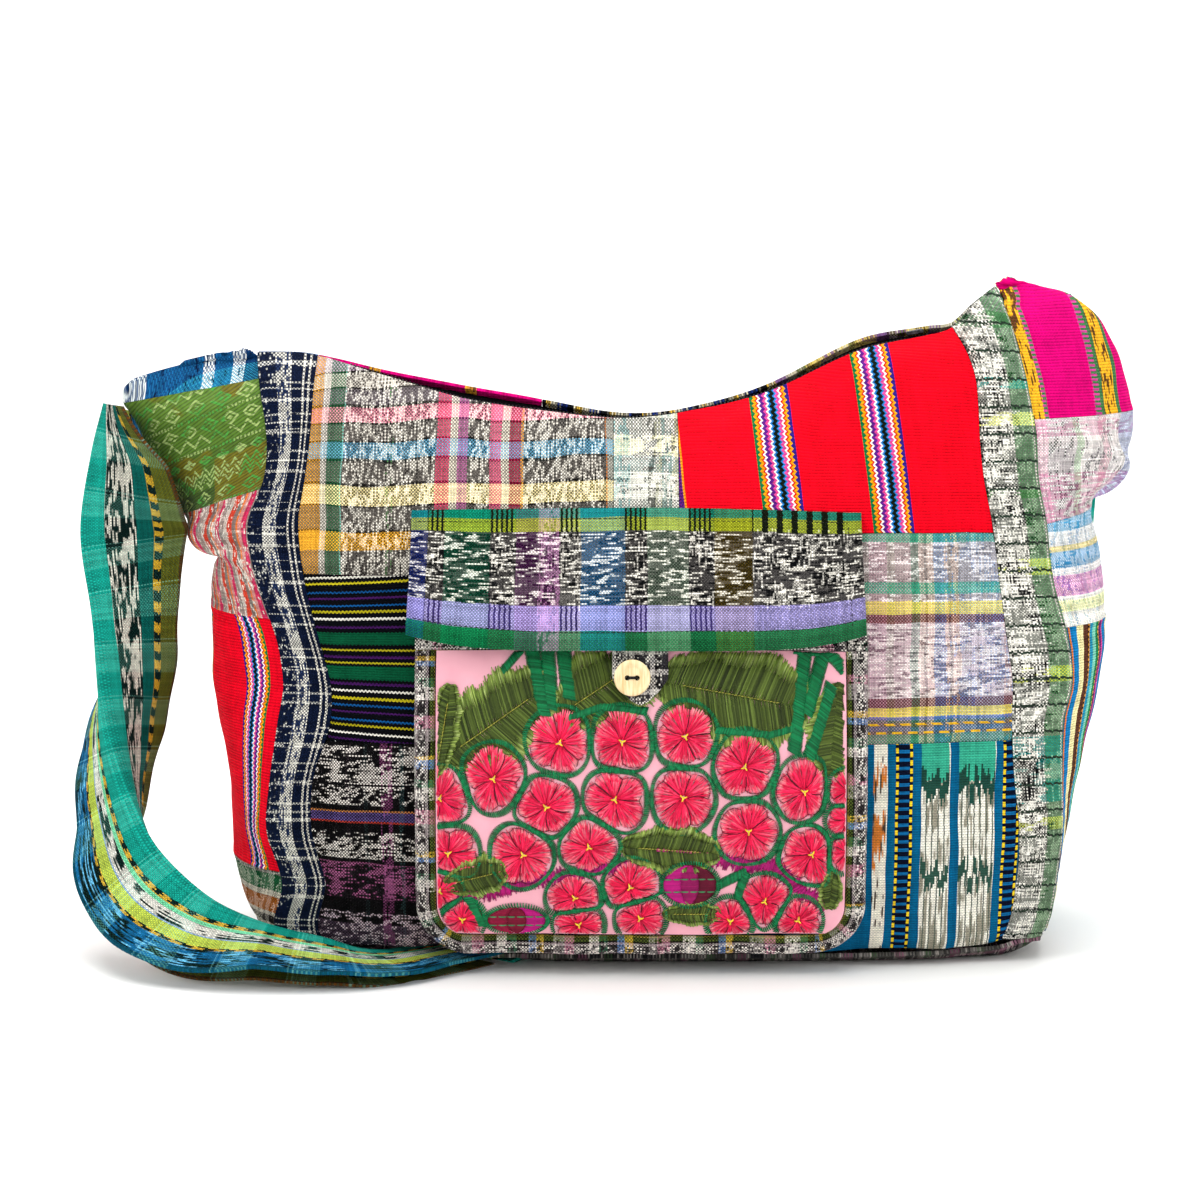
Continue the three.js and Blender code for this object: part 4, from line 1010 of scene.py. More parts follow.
def basePoint(across, along):
    g = 2 * along - 1
    left = leftGusset(0, g)[..., 0]
    right = rightGusset(0, g)[..., 0]
    x = mixed(left, right, across)
    seamX = mixed(leftSeam(bag["foot"]), rightSeam(bag["foot"]), across)
    foot = footHeight(seamX)
    depth = panelDepth(seamX, foot, topEdge(seamX))
    edgeX = (right - left) * np.minimum(across, 1 - across)
    edgeY = 2 * depth * np.minimum(along, 1 - along)
    rim = np.hypot(np.maximum(1 - edgeX / bag["rimWidth"], 0), np.maximum(1 - edgeY / bag["rimWidth"], 0))
    turnUp = (foot - base["wall"] + base["overlap"]) * np.minimum(rim, 1) ** 2
    forward = np.clip((base["from"] - g * depth) / base["run"], 0, 1)
    strapX = base["strapX"] - base["swing"] * forward ** 1.5
    arch = base["lift"] * eased(1 - np.clip((np.abs(x - strapX) - base["plateau"]) / base["falloff"], 0, 1))
    # this is the upper face, and the wall hangs below it
    z = np.maximum(np.maximum(turnUp, arch), base["wall"])
    return np.stack([x, g * depth, z], -1)


across, along = np.meshgrid(np.linspace(0.008, 0.992, 150)[::-1], np.linspace(0.024, 0.976, 60))
basePoints = basePoint(across, along)
# The base's plaid uses darker yarns than its own grey and white: partly the cloth's colour, partly painted
# shade for the shadow under the bag's edge
baseCloth = {
    "warp": scattered(31, -230, 230, [("#403e3c", 7, 12), ("#85596e", 3, 6), ("#232226", 4, 7),
                                      ("#8c8683", 2, 4), ("#4d6648", 3, 5)]),
    "weft": scattered(32, -90, 90, [("#6a6864", 8, 12), ("#94707f", 3, 5), ("#3a393d", 4, 7)]),
    "marks": [ikat("v", "#b0a9a4", 1.8, 10, 0.6)]}
baseFinish = weave("base_cloth", **baseCloth)
sewSheet("bottom_panel", "base_cloth", baseFinish, basePoints, basePoints[..., :2], -base["wall"],
         held="laid", restsOn=[])
print("base sewn")

# Strap: one band folded in two along its length. Rows: fold line x y z, fold direction, width, spread
strap = {
    "wall": 1.6, "outer": 2.0, "seat": 0.15, "half": 48, "short": 0.13,
    "fall": [
        (-284.5, 0, 281, -1, 0, 0, 32, 128), (-291, -4, 254, -1, -0.12, 0.1, 52, 84),
        (-296, -11, 216, -1, -0.32, 0, 57, 64), (-290, -24, 178, -0.8, -0.7, 0, 43, 60),
        (-286, -34, 147, -0.45, -0.9, 0, 41, 58), (-281, -43, 115, 0, -1, 0, 41, 56),
        (-271, -52, 83, 0.5, -0.85, 0.1, 42, 46), (-256, -64, 56, 0.8, -0.3, 0.42, 45, 30),
        (-229, -75, 34, 0.62, 0.58, 0.46, 48, 12), (-196, -78, 21, 0.1, 0.95, 0.27, 48, 6),
        (-171, -78, 14.5, -0.1, 0.97, 0.2, 47, 4), (-154, -73.5, 7.4, -0.32, 0.94, 0.05, 47, 3),
        (-138, -61, 3.6, -0.55, 0.83, -0.008, 47, 2), (-117, -40, 2.9, -0.86, 0.5, -0.012, 49, 2),
        (-103, -17, 2.7, -1, 0.1, -0.014, 50, 2)],
    "rise": [
        (-112, -98, 2.6, 0.6, -0.9, -0.02, 47, 2.4), (-75, -65, 2.6, 0.85, -0.5, -0.018, 49, 2),
        (-53, -22, 2.6, 1, -0.1, -0.018, 50, 2), (-49, 22, 2.6, 1, 0, -0.018, 50, 2),
        (-46, 62, 2.6, 1, -0.2, -0.018, 50, 2), (-26, 86, 2.7, 0.5, -1, -0.05, 50, 5),
        (20, 92, 3, 0, -1, -0.1, 50, 11), (90, 93, 3.4, 0, -1, -0.16, 50, 18),
        (152, 95, 8, 0.3, -1, -0.2, 50, 26), (200, 101, 36, 0.9, -0.6, -0.1, 48, 38),
        (227, 104, 96, 1, -0.2, 0, 46, 46), (236, 100, 168, 1, 0, 0, 44, 46), (239, 86, 238, 1, 0, 0, 42, 42),
        (236, 66, 288, 1, 0, 0.1, 38, 34), (227, 47, 317, 1, 0.1, 0.3, 32, 26),
        (215, 32, 335, 1, 0.1, 0.5, 24, 22)],
}
strapCloth = {
    "warp": [(-60, "#6a4418"), (-46.8, "#75731c"), (-37, "#dcb436"), (-32.8, "#0d6d66"), (-25, "#e6e0d4"),
             (-9.6, "#23b0a0"), (10.4, "#e3bb44"), (13.4, "#8fe8b8"), (16.2, "#f3efe6"), (22.8, "#a9c3e6"),
             (23.8, "#cfde62"), (30.4, "#e3bb44"), (32.6, "#247aae"), (45.8, "#14566f")],
    "weft": scattered(41, 0, 1250, [("#125a53", 10, 18), ("#8fd0c2", 0.6, 0.8), ("#125a53", 1.2, 1.8),
                                    ("#8fd0c2", 0.6, 0.8), ("#6fb5a6", 9, 15)]),
    "share": 0.22, "contrast": 0.36, "swing": 1.2,
    "marks": [ikat("v", "#0f1013", 2.2, 14, 0.48, (-25, -9.6), jitter=12),
              ikat("v", "#111312", 6, 13, 0.54, (16.2, 22.8), jitter=9),
              ikat("v", "#080b10", 4, 22, 0.5, (32.6, 45.8), jitter=12),
              ikat("v", "#7cc4ea", 4, 12, 0.62, (32.6, 45.8), jitter=12)]
             + [bars("v", "#121315", 9.5, 0.5, span, jitter=4)
                for span in ((-37, -32.8), (10.4, 13.4))]
             + [bars("v", "#121315", 8.5, 0.5, (30.4, 32.6), jitter=4)]}


def strapGrid(rows, first, last, start, fineRows=16, leaf=22):
    columns = [through(rows, value) for value in range(8)]
    stations = np.linspace(first + 0.004, last - 0.004, int((last - first) * fineRows) + 1)

    def place(row):
        return np.stack([columns[i](row) for i in range(3)], -1)

    centre = place(stations)
    tangent = place(stations + 0.05) - place(stations - 0.05)
    tangent /= np.linalg.norm(tangent, axis=1, keepdims=True)
    fold = np.stack([columns[i](stations) for i in (3, 4, 5)], -1)
    fold -= tangent * (fold * tangent).sum(1, keepdims=True)
    fold /= np.linalg.norm(fold, axis=1, keepdims=True)
    side = np.cross(tangent, fold)
    width = columns[6](stations)[:, None]
    half = np.radians(columns[7](stations) / 2)[:, None]
    length = runAlong(centre)[:, None] + start
    shares = np.concatenate([np.linspace(1, 0.05, leaf), [0], np.linspace(0.05, 1, leaf)])[None, :]
    signs = np.concatenate([np.ones(leaf), [0], -np.ones(leaf)])[None, :]
    # the under leaf is folded a little short, so that it stays hidden on the floor
    flat = eased((0.6 - half) / 0.4)
    reach = width * shares * np.where(signs < 0, 1 - strap["short"] * flat, 1)
    apart = np.where(signs == 0, 0, strap["seat"] + strap["outer"])
    back = np.where(signs == 0, strap["outer"], apart * np.sin(half) - reach * np.cos(half))
    out = signs * (reach * np.sin(half) + apart * np.cos(half))
    sway = 0.8 * np.sin(length / 13 + shares * 3 + 2 * np.sin(length / 41))
    sway = sway + 0.5 * np.sin(length / 5.7 + shares * 6)
    sway = sway * shares * np.clip(np.degrees(half) / 20, 0, 1)
    points = centre[:, None] + fold[:, None] * back[..., None] + side[:, None] * (out + sway)[..., None]
    pattern = np.stack(np.broadcast_arrays(signs * shares * strap["half"], length), -1)
    return points, pattern, float(length[-1, 0])


strapMaterial = weave("strap_cloth", **strapCloth)
strapRun = 0
for node, rows, first, last in (("strap_left", "fall", 0, 13), ("strap_base", "rise", 1.02, 5),
                                ("strap_right", "rise", 5, 15)):
    points, pattern, strapRun = strapGrid(strap[rows], first, last, strapRun)
    held = "laid" if node == "strap_base" else "hung"
    sewSheet(node, "strap_stripe", strapMaterial, points, pattern, strap["wall"], held=held, restsOn=[])
print("strap laid")


# Zip: tapes sewn under the two edges, a coil of small teeth, and a plain slider
zipper = {"left": -160, "right": 142, "sink": 1.2, "coil": 1.1, "tape": 0.9, "pitch": 1.9}
zipCloth = weave("zip_cloth", [(-200, "#16161b")], [(-30, "#101014")])
for node, side in (("zip_tape_front", -1), ("zip_tape_back", 1)):
    x = np.linspace(zipper["left"], zipper["right"], 150)
    panel, top = (frontPoint, topEdge(x)) if side < 0 else (backPoint, backTop(x))
    sewn = panel(x, top - 2 * zipper["sink"]) - facing(panel, x, top - 2 * zipper["sink"], 0.5, -side) * 2.6
    toothed = np.stack([x, np.full_like(x, side * (zipper["coil"] + 0.2)), topEdge(x) - zipper["sink"]], -1)
    rows = [mixed(sewn, toothed, t) for t in np.linspace(0, 1, 8)]
    points = np.stack(rows if side < 0 else rows[::-1])
    pattern = np.stack([points[..., 0], points[..., 1]], -1)
    sewSheet(node, "zip_tape", zipCloth, points, pattern, zipper["tape"])


# Threads, teeth and stitches: short closed tubes in one mesh, coloured strand by strand or step by step
def makeThreads(name, paths, radii, colours, flat=1.0, up=(0, -1, 0)):
    sides = 4
    tipShare = 0.55
    paths = np.asarray(paths, float)
    count, steps = paths.shape[:2]
    radii = np.broadcast_to(np.asarray(radii, float).reshape(-1, 1), (count, steps)).copy()
    along = np.gradient(paths, axis=1)
    along /= np.linalg.norm(along, axis=2, keepdims=True) + 1e-9
    across = np.cross(along, np.broadcast_to(np.asarray(up, float), paths.shape))
    across /= np.linalg.norm(across, axis=2, keepdims=True) + 1e-9
    over = np.cross(across, along)
    radii[:, [0, -1]] *= tipShare
    turns = np.arange(sides) * 2 * math.pi / sides + math.pi / sides
    ring = across[:, :, None] * np.cos(turns)[None, None, :, None]
    ring = ring + flat * over[:, :, None] * np.sin(turns)[None, None, :, None]
    ring = paths[:, :, None] + ring * radii[:, :, None, None]
    corners = ring.reshape(count, -1, 3)
    ends = along[:, [0, -1]] * radii[:, [0, -1], None] * np.array([[-0.8], [0.8]])
    tips = paths[:, [0, -1]] + ends
    points = np.concatenate([corners, tips], 1)
    each = points.shape[1]
    faces = []
    for i in range(steps - 1):
        for j in range(sides):
            k = (j + 1) % sides
            faces.append((i * sides + j, i * sides + k, (i + 1) * sides + k, (i + 1) * sides + j))
    caps = []
    last = (steps - 1) * sides
    for j in range(sides):
        k = (j + 1) % sides
        caps.append((each - 2, k, j))
        caps.append((each - 1, last + j, last + k))
    mesh = bpy.data.meshes.new(name)
    starts = np.arange(count) * each
    quads = (np.array(faces)[None] + starts[:, None, None]).reshape(-1, 4)
    triangles = (np.array(caps)[None] + starts[:, None, None]).reshape(-1, 3)
    mesh.vertices.add(count * each)
    mesh.vertices.foreach_set("co", (points * millimetre).ravel())
    loops = np.concatenate([quads.ravel(), triangles.ravel()]).astype(np.int32)
    sizes = np.concatenate([np.full(len(quads), 4), np.full(len(triangles), 3)])
    mesh.loops.add(len(loops))
    mesh.loops.foreach_set("vertex_index", loops)
    mesh.polygons.add(len(sizes))
    mesh.polygons.foreach_set("loop_start", np.concatenate([[0], np.cumsum(sizes)[:-1]]).astype(np.int32))
    mesh.update(calc_edges=True)
    colours = np.asarray(colours, float).reshape(count, -1, 4)
    colours = np.repeat(colours, steps // colours.shape[1], axis=1)
    colours = np.concatenate([np.repeat(colours, sides, axis=1), colours[:, [0, -1]]], 1)
    paint = mesh.color_attributes.new("thread", "FLOAT_COLOR", "POINT")
    paint.data.foreach_set("color", colours.ravel())
    piece = bpy.data.objects.new(name, mesh)
    bpy.context.collection.objects.link(piece)
    mesh.shade_smooth()
    return piece


def threadFinish(name, roughness=0.55, sheen=0.2):
    cloth = Finish(name)
    colour = cloth.add("ShaderNodeVertexColor", {"layer_name": "thread"})
    grain = cloth.grain(900.0)
    tone = grain * 0.35 + cloth.grain(120.0, 1.0) * 0.3 + 0.62
    colour = cloth.blend(1.0, colour, tone, "MULTIPLY")
    return cloth.surface(colour, roughness, grain, 0.5, 0.0003, sheen)


zipX = np.arange(zipper["left"] + 1, zipper["right"] - 1, zipper["pitch"])
zipZ = topEdge(zipX) - zipper["sink"]
sideStep = np.array([-1.15, -0.4, 0.4, 1.15])
teeth = np.stack([
    zipX[:, None] + 0 * sideStep, 0 * zipX[:, None] + sideStep,
    zipZ[:, None] + np.array([-0.3, 0.55, 0.55, -0.3])], -1)
teethPiece = makeThreads("zipcoil", teeth, 0.62, [tint("#17171b")] * len(teeth), up=(0, 0, 1))
sewIn(teethPiece, "zip_coil", "zip_coil", threadFinish("zip_nylon", 0.35, 0.0))

pull = {"x": 133, "long": 9, "wide": 3.2, "tall": 2.4, "lift": 3.2, "round": 0.7}
bpy.ops.object.select_all(action="DESELECT")
bpy.ops.mesh.primitive_cube_add(size=1)
slider = bpy.context.object
slider.name = "zipslider"
slider.scale = (pull["long"] * millimetre, pull["wide"] * millimetre, pull["tall"] * millimetre)
slope = float(np.arctan2(topEdge(pull["x"] + 1) - topEdge(pull["x"]), 1))
slider.rotation_euler = (0, -slope, 0)
pullZ = float(topEdge(pull["x"]) - zipper["sink"] + pull["lift"])
slider.location = (pull["x"] * millimetre, 0, pullZ * millimetre)
bpy.ops.object.transform_apply(location=True, rotation=True, scale=True)
rounding = slider.modifiers.new("rounding", "BEVEL")
rounding.width = pull["round"] * millimetre
rounding.segments = 3
bpy.ops.object.modifier_apply(modifier=rounding.name)
bpy.ops.object.shade_smooth_by_angle(angle=math.radians(40))
metal = Finish("slider_metal")
scuff = metal.grain(700.0, 3.0)
metalColour = metal.blend(scuff.step(0.55, 0.2), tint("#2a2a2d"), tint("#57565a"))
metalFinish = metal.surface(metalColour, scuff * 0.3 + 0.3, scuff, 0.2, 0.0002, Metallic=1.0)
sewIn(slider, "zip_slider", "zip_slider", metalFinish)
print("zip made")

# Front pocket
pocket = {"left": -121, "right": 102, "top": 172, "hem": 8, "bottom": 15, "border": 10, "corner": 25,
          "depth": 13, "bulge": 3, "wall": 1.6, "bindingWall": 1.4, "satinFoot": 26.2}


def pocketInset(z):
    radius = pocket["corner"] - pocket["border"]
    below = np.clip(pocket["bottom"] + pocket["corner"] - z, 0, radius)
    return pocket["border"] + radius - np.sqrt(radius * radius - below * below)


def pocketRise(x, z):
    side = (x - (pocket["left"] + pocket["right"]) / 2) / ((pocket["right"] - pocket["left"]) / 2)
    low = pocket["bottom"] + pocket["border"]
    rise = np.clip((z - low) / (pocket["top"] - pocket["hem"] - low), 0, 1)
    return pocket["depth"] + pocket["bulge"] * (1 - side ** 4) * (1 - (2 * rise - 1) ** 4)


# The satin puffs a little between its stitches and gathers under the hem
def satinRipple(x, z):
    gather = np.sin(x / 4.6 + np.sin(x / 11) * 1.4) * np.clip((z - 140) / 22, 0, 1) * 1.1
    return 0.5 * np.sin(x / 17 + z / 23) + 0.35 * np.sin(x / 9 - z / 13 + 1) + gather


def onPocket(x, z, off=0.0):
    return onFront(x, z, pocketRise(x, z) + satinRipple(x, z) * 0.8 + off)


def outwards(points, pattern):
    spread = np.cross(points[:-1, 1:] - points[:-1, :-1], points[1:, :-1] - points[:-1, :-1])
    if spread[..., 1].sum() > 0:
        return points[:, ::-1], pattern[:, ::-1]
    return points, pattern


satin = Finish("pink_satin_cloth")
satinU, satinV = satin.clothPlace()
satinWeave = abs((satinU * (math.pi / 0.5)).wave()) * 0.5 + abs((satinV * (math.pi / 0.5)).wave()) * 0.5
satinPatch = satin.noise(satinU, satinV, 0.06, 3.0)
satinColour = satin.blend(satinPatch.step(0.5, 0.9), tint("#e6a0b0"), tint("#eeb0bd"))
# Painted shade: the satin is painted a little darker in the grooves of its weave
satinColour = satin.blend(1.0, satinColour, satinWeave * 0.12 + 0.9, "MULTIPLY")
satinFinish = satin.surface(satinColour, 0.45, satinWeave, 0.15, 0.0002, 0.1)
heights = np.linspace(pocket["satinFoot"], pocket["top"] - pocket["hem"] - 0.3, 70)
inset = pocketInset(heights) + 0.6
shares = np.linspace(0, 1, 106)
x = mixed((pocket["left"] + inset)[:, None], (pocket["right"] - inset)[:, None], shares[None, :])
z = np.repeat(heights[:, None], len(shares), axis=1)
points = onPocket(x, z)
sewSheet("pocket_panel", "pink_satin", satinFinish, points, np.stack([x, z], -1), pocket["wall"],
         restsOn=["pocket_border_bottom"])

# Binding around the pocket, rolled over its edge: depth inwards, height off the bag's front
bindingProfile = [(0, 0.6), (0, 4), (-0.5, 8), (-0.2, 10.6), (0.9, 12.6), (2.4, 13.5), (4, 13.8), (5.2, 13.5),
                  (5.8, 12.9), (6.4, 13.5), (7.6, 14.1), (9, 13.7), (9.9, 12.8), (10, 11.6)]
bindingCloth = {
    "warp": [(-5, "#6a6566"), (6, "#1d1b1d"), (9, "#9a8b90"), (13, "#4f4a4b"), (17, "#c9babd"),
             (19, "#26241f"), (20, "#66763a"), (22.2, "#b3ad58"), (24, "#4a6a3e")],
    "weft": scattered(51, -20, 600, [("#151416", 5, 9), ("#a39c99", 4, 8), ("#c98aa0", 4, 7),
                                     ("#151416", 4, 8), ("#e3ddd6", 4, 7), ("#3f7a5c", 3, 5),
                                     ("#151416", 4, 8), ("#6f93c4", 2, 4), ("#d6b548", 2, 4)]),
    "marks": [ikat("v", "#f3ede6", 1.3, 4, 0.5, (-5, 19)),
              ikat("u", "#0f0e10", 1.8, 4, 0.55, (-20, 600), (-5, 19))]}
bindingFinish = weave("binding_cloth", **bindingCloth)


def bindingGrid(outline, inward, run):
    profile = np.array(bindingProfile)
    fine = np.linspace(0, len(profile) - 1, 40)
    depth = np.interp(fine, range(len(profile)), profile[:, 0])
    height = np.interp(fine, range(len(profile)), profile[:, 1])
    x = outline[:, :1] + inward[:, :1] * depth
    z = outline[:, 1:] + inward[:, 1:] * depth
    along = run[:, None]
    wobble = 0.8 * np.sin(along / 6.1 + 1.6 * np.sin(along / 23)) * np.clip((height - 9) / 4, 0, 1)
    points = onFront(x, z, height + wobble)
    across = np.pad(np.cumsum(np.hypot(np.diff(depth), np.diff(height))), (1, 0))
    return points, np.stack(np.broadcast_arrays(across, along), -1)


heights = np.linspace(40.1, pocket["top"] - pocket["hem"] - 0.1, 62)
arc = np.linspace(0, math.pi / 2, 24)
centreZ = pocket["bottom"] + pocket["corner"]
flatX = np.linspace(pocket["left"] + pocket["corner"], pocket["right"] - pocket["corner"], 90)[1:-1]
arcIn = np.stack([np.cos(arc), np.sin(arc)], -1)
leftArc = np.array([pocket["left"] + pocket["corner"], centreZ]) - arcIn * pocket["corner"]
rightArc = np.array([pocket["right"] - pocket["corner"], centreZ])
rightArc = rightArc + (arcIn * [1, -1])[::-1] * pocket["corner"]
bottomLine = np.concatenate([leftArc, np.stack([flatX, np.full_like(flatX, pocket["bottom"])], -1), rightArc])
bottomIn = np.concatenate([arcIn, np.repeat([[0.0, 1.0]], len(flatX), axis=0), (arcIn * [-1, 1])[::-1]])
leftLine, rightLine = (np.stack([np.full_like(heights, pocket[side]), heights], -1) for side in ("left",
                                                                                                 "right"))
bindings = {
    "pocket_border_left": (leftLine, (1, 0), 300 + heights),
    "pocket_border_right": (rightLine, (-1, 0), 420 + heights),
    "pocket_border_bottom": (bottomLine, bottomIn, runAlong(bottomLine)),
}
for node, (outline, inward, run) in bindings.items():
    inward = np.broadcast_to(np.asarray(inward, float), outline.shape)
    points, pattern = outwards(*bindingGrid(outline, inward, run))
    sewSheet(node, "binding_plaid", bindingFinish, points, pattern, pocket["bindingWall"],
             held="folded", restsOn=["front_black_plaid", "front_teal_ikat"])

heights = np.linspace(pocket["top"] - pocket["hem"] + 0.1, pocket["top"], 12)
x, z = np.meshgrid(np.linspace(pocket["left"], pocket["right"], 110), heights)
roll = 0.9 * np.sin((pocket["top"] - z) / pocket["hem"] * math.pi)
points = onFront(x, z, pocketRise(x, z) + roll + 0.3 * np.sin(x / 5))
sewSheet("pocket_hem", "binding_plaid", bindingFinish, points, np.stack([z - 160, x + 200], -1),
         pocket["wall"], held="folded", restsOn=["pocket_panel"])

# Flap: sewn along its top, standing off further towards its rolled lower edge
flap = {"left": -125, "right": 101, "top": 231, "middle": 162, "ends": 171, "wall": 2.6, "sewnRise": 3.3,
        "stand": 20, "lowStitch": 8.6, "topStitch": 5.5, "sideStitch": 6.5}
flapColumns = [(-116.8, -108.4), (-85.4, -72.6), (-50.8, -40.3), (-17.7, -6.5), (15.1, 27.4)]
flapCloth = {
    "warp": [(-130, "#26398a"), (-116.8, "#3d3b3b"), (-108.4, "#0b6449"), (-85.4, "#3d3b3b"),
             (-72.6, "#682b66"), (-61, "#cf92c2"), (-50.8, "#8d8a86"), (-40.3, "#3a7aa6"),
             (-17.7, "#3d3b3b"), (-6.5, "#82917f"), (15.1, "#2b292a"), (27.4, "#69570f"),
             (46.8, "#4b4949")],
    "weft": [(150, "#1c8a55"), (171, "#c0b6ec"), (182.5, "#5f5c5a"), (219, "#b5c23a"), (226.5, "#149c84")],
    "share": 0.6, "contrast": 0.42,
    "marks": [ikat("u", "#fdf9ee", 1.0, 9, 0.52, (182.5, 219), jitter=10),
              ikat("u", "#0f1216", 1.1, 8, 0.54, (182.5, 219), jitter=10),
              ikat("v", "#682b66", 2.5, 5, 0.56, (-63, -52), jitter=8),
              ikat("v", "#0f0f11", 2, 11, 0.5, (46.8, 102), (182.5, 219)),
              ikat("v", "#f6f2e8", 1.6, 9, 0.57, (46.8, 102), (182.5, 219)),
              bars("u", "#1e2416", 7.4, 0.42, (219, 232), (46.8, 96), on="both", jitter=0.6),
              bars("u", "#8e88b8", 2.4, 0.3, (171, 182.5), (46.8, 102), on="both", jitter=2)]}
for column in flapColumns:
    flapCloth["marks"] += [
        ikat("v", "#0f0f11", 1.2, 8, 0.5, column, (182.5, 219)),
        ikat("v", "#efeae0", 1.2, 7, 0.6, column, (182.5, 219)),
        bars("u", "#20281a", 2.5, 0.45, (219, 232), column, on="both", jitter=0.4),
        bars("u", "#4a3f78", 2.5, 0.4, (171, 182.5), column, on="both", jitter=0.4)]


def flapLow(x):
    across = (x - flap["left"]) / (flap["right"] - flap["left"])
    return mixed(flap["ends"], flap["middle"], 1 - (2 * across - 1) ** 4)


def flapRise(z):
    down = np.clip((flap["top"] - z) / (flap["top"] - flap["middle"]), 0, 1)
    return flap["sewnRise"] + flap["stand"] * eased(down ** 0.8)


def onFlap(x, up, off=0.0):
    z = mixed(flapLow(x), flap["top"], up)
    fromLow = z - flapLow(x)
    fromTop = flap["top"] - z
    groove = -0.9 * np.exp(-((fromLow - flap["lowStitch"]) / 1.3) ** 2)
    groove -= 0.8 * np.exp(-((fromTop - flap["topStitch"]) / 1.2) ** 2)
    groove -= 0.7 * np.exp(-((flap["right"] - flap["sideStitch"] - x) / 1.2) ** 2)
    roll = 1.1 * np.exp(-((fromLow - 4) / 4) ** 2)
    ripple = 0.9 * np.sin(x / 23 + z / 31) + 0.5 * np.sin(x / 9.5 - z / 17 + 2)
    pucker = 0.35 * np.sin(x / 3.6 + np.sin(x / 11)) * np.exp(-np.abs(fromTop - flap["topStitch"]) / 5)
    ripple = (ripple + pucker) * np.clip(fromTop / 12, 0.2, 1)
    return onFront(x, z, flapRise(z) + groove + roll + ripple + off)


x, up = np.meshgrid(np.linspace(flap["left"], flap["right"], 120), np.linspace(0, 1, 44))
points = onFlap(x, up)
pattern = np.stack([x, mixed(flap["middle"], flap["top"], up)], -1)
sewSheet("pocket_flap", "flap_ikat", weave("flap_cloth", **flapCloth), points, pattern, flap["wall"],
         held="hung", restsOn=["pocket_hem"])

# Tab that hangs from under the flap, with a rounded point
tab = {"middle": -10, "half": 14, "top": 168, "shoulder": 150, "tip": 138, "rise": 19, "wall": 1.5}
tabCloth = {
    "warp": scattered(61, -30, 0, [("#4a484c", 4, 6), ("#cfcbc8", 2, 3), (black, 2, 3)])
            + [(1.5, "#15785a"), (4.2, "#a8a75e")],
    "weft": scattered(62, 130, 180, [("#3a383c", 3, 5), ("#c9c4c0", 2, 3), (black, 1.5, 2.5)]),
    "marks": [ikat("v", "#f0ece4", 1.3, 3, 0.53, (-30, 1))]}
heights = np.linspace(tab["tip"], tab["top"], 40)
taper = np.clip((heights - tab["tip"]) / (tab["shoulder"] - tab["tip"]), 0.01, 1) ** 0.62
across = np.linspace(-1, 1, 30)
x = tab["middle"] + (tab["half"] * taper)[:, None] * across
z = np.repeat(heights[:, None], len(across), axis=1)
edge = 1 - np.abs(across) ** 6
points = onFront(x, z, tab["rise"] - 0.8 + 0.8 * edge + 0.3 * np.sin(z / 3))
sewSheet("pocket_tab", "tab_check", weave("tab_cloth", **tabCloth), points, np.stack([x, z], -1), tab["wall"],
         held="hung", restsOn=["pocket_panel"])
print("pocket sewn")

# Wooden button: a turned disc with a dished face and two holes
button = {"x": -14, "z": 150, "seat": 19.6, "radius": 9, "wall": 4, "rim": 2.4, "slope": 1.2, "dish": 1.1,
          "edge": 1.2, "hole": 1.3, "spread": 2.4}
bpy.ops.object.select_all(action="DESELECT")
bpy.ops.mesh.primitive_cylinder_add(
    vertices=64, radius=button["radius"] * millimetre, depth=button["wall"] * millimetre)
disc = bpy.context.object
disc.name = "pocketbutton"
bpy.ops.object.mode_set(mode="EDIT")
bpy.ops.mesh.select_mode(type="FACE")
bpy.ops.mesh.select_all(action="DESELECT")
bpy.ops.object.mode_set(mode="OBJECT")
for face in disc.data.polygons:
    face.select = face.normal.z > 0.9
bpy.ops.object.mode_set(mode="EDIT")
bpy.ops.mesh.inset(thickness=button["rim"] * millimetre)
bpy.ops.mesh.inset(thickness=button["slope"] * millimetre)
bpy.ops.transform.translate(value=(0, 0, -button["dish"] * millimetre))
bpy.ops.object.mode_set(mode="OBJECT")
edging = disc.modifiers.new("edging", "BEVEL")
edging.width = button["edge"] * millimetre
edging.segments = 4
bpy.ops.object.modifier_apply(modifier=edging.name)
for side in (-1, 1):
    bpy.ops.mesh.primitive_cylinder_add(vertices=20, radius=button["hole"] * millimetre, depth=0.02,
                                        location=(side * button["spread"] * millimetre, 0, 0))
    drill = bpy.context.object
    bpy.ops.object.select_all(action="DESELECT")
    disc.select_set(True)
    bpy.context.view_layer.objects.active = disc
    cut = disc.modifiers.new("hole", "BOOLEAN")
    cut.object = drill
    bpy.ops.object.modifier_apply(modifier=cut.name)
    bpy.data.objects.remove(drill)
bpy.ops.object.shade_smooth_by_angle(angle=math.radians(40))
normal = facing(frontPoint, np.float64(button["x"]), np.float64(button["z"]), 0.5)
seat = onFront(button["x"], button["z"], button["seat"] + button["wall"] / 2) * millimetre
disc.rotation_mode = "QUATERNION"
disc.rotation_quaternion = Vector(normal).to_track_quat("Z", "Y")
disc.location = seat
bpy.ops.object.transform_apply(location=True, rotation=True, scale=True)
wood = Finish("button_wood")
woodPlace = wood.add("ShaderNodeTexCoord", out=3)
woodX, woodZ = wood.add("ShaderNodeSeparateXYZ", {}, {0: woodPlace}, out=(0, 2))
grain = wood.noise(woodX * 900, woodZ * 90, 1.0, 3.0)
figure = wood.noise(woodX * 300, woodZ * 40, 1.0, 2.0)
woodColour = wood.blend(grain.step(0.5, 0.3), tint("#dcc191"), tint("#efdcb2"))
woodColour = wood.blend(figure.step(0.62, 0.12) * 0.5, woodColour, tint("#c9a468"))
sewIn(disc, "pocket_button", "button_wood", wood.surface(woodColour, grain * 0.2 + 0.42, grain, 0.25, 0.0002))


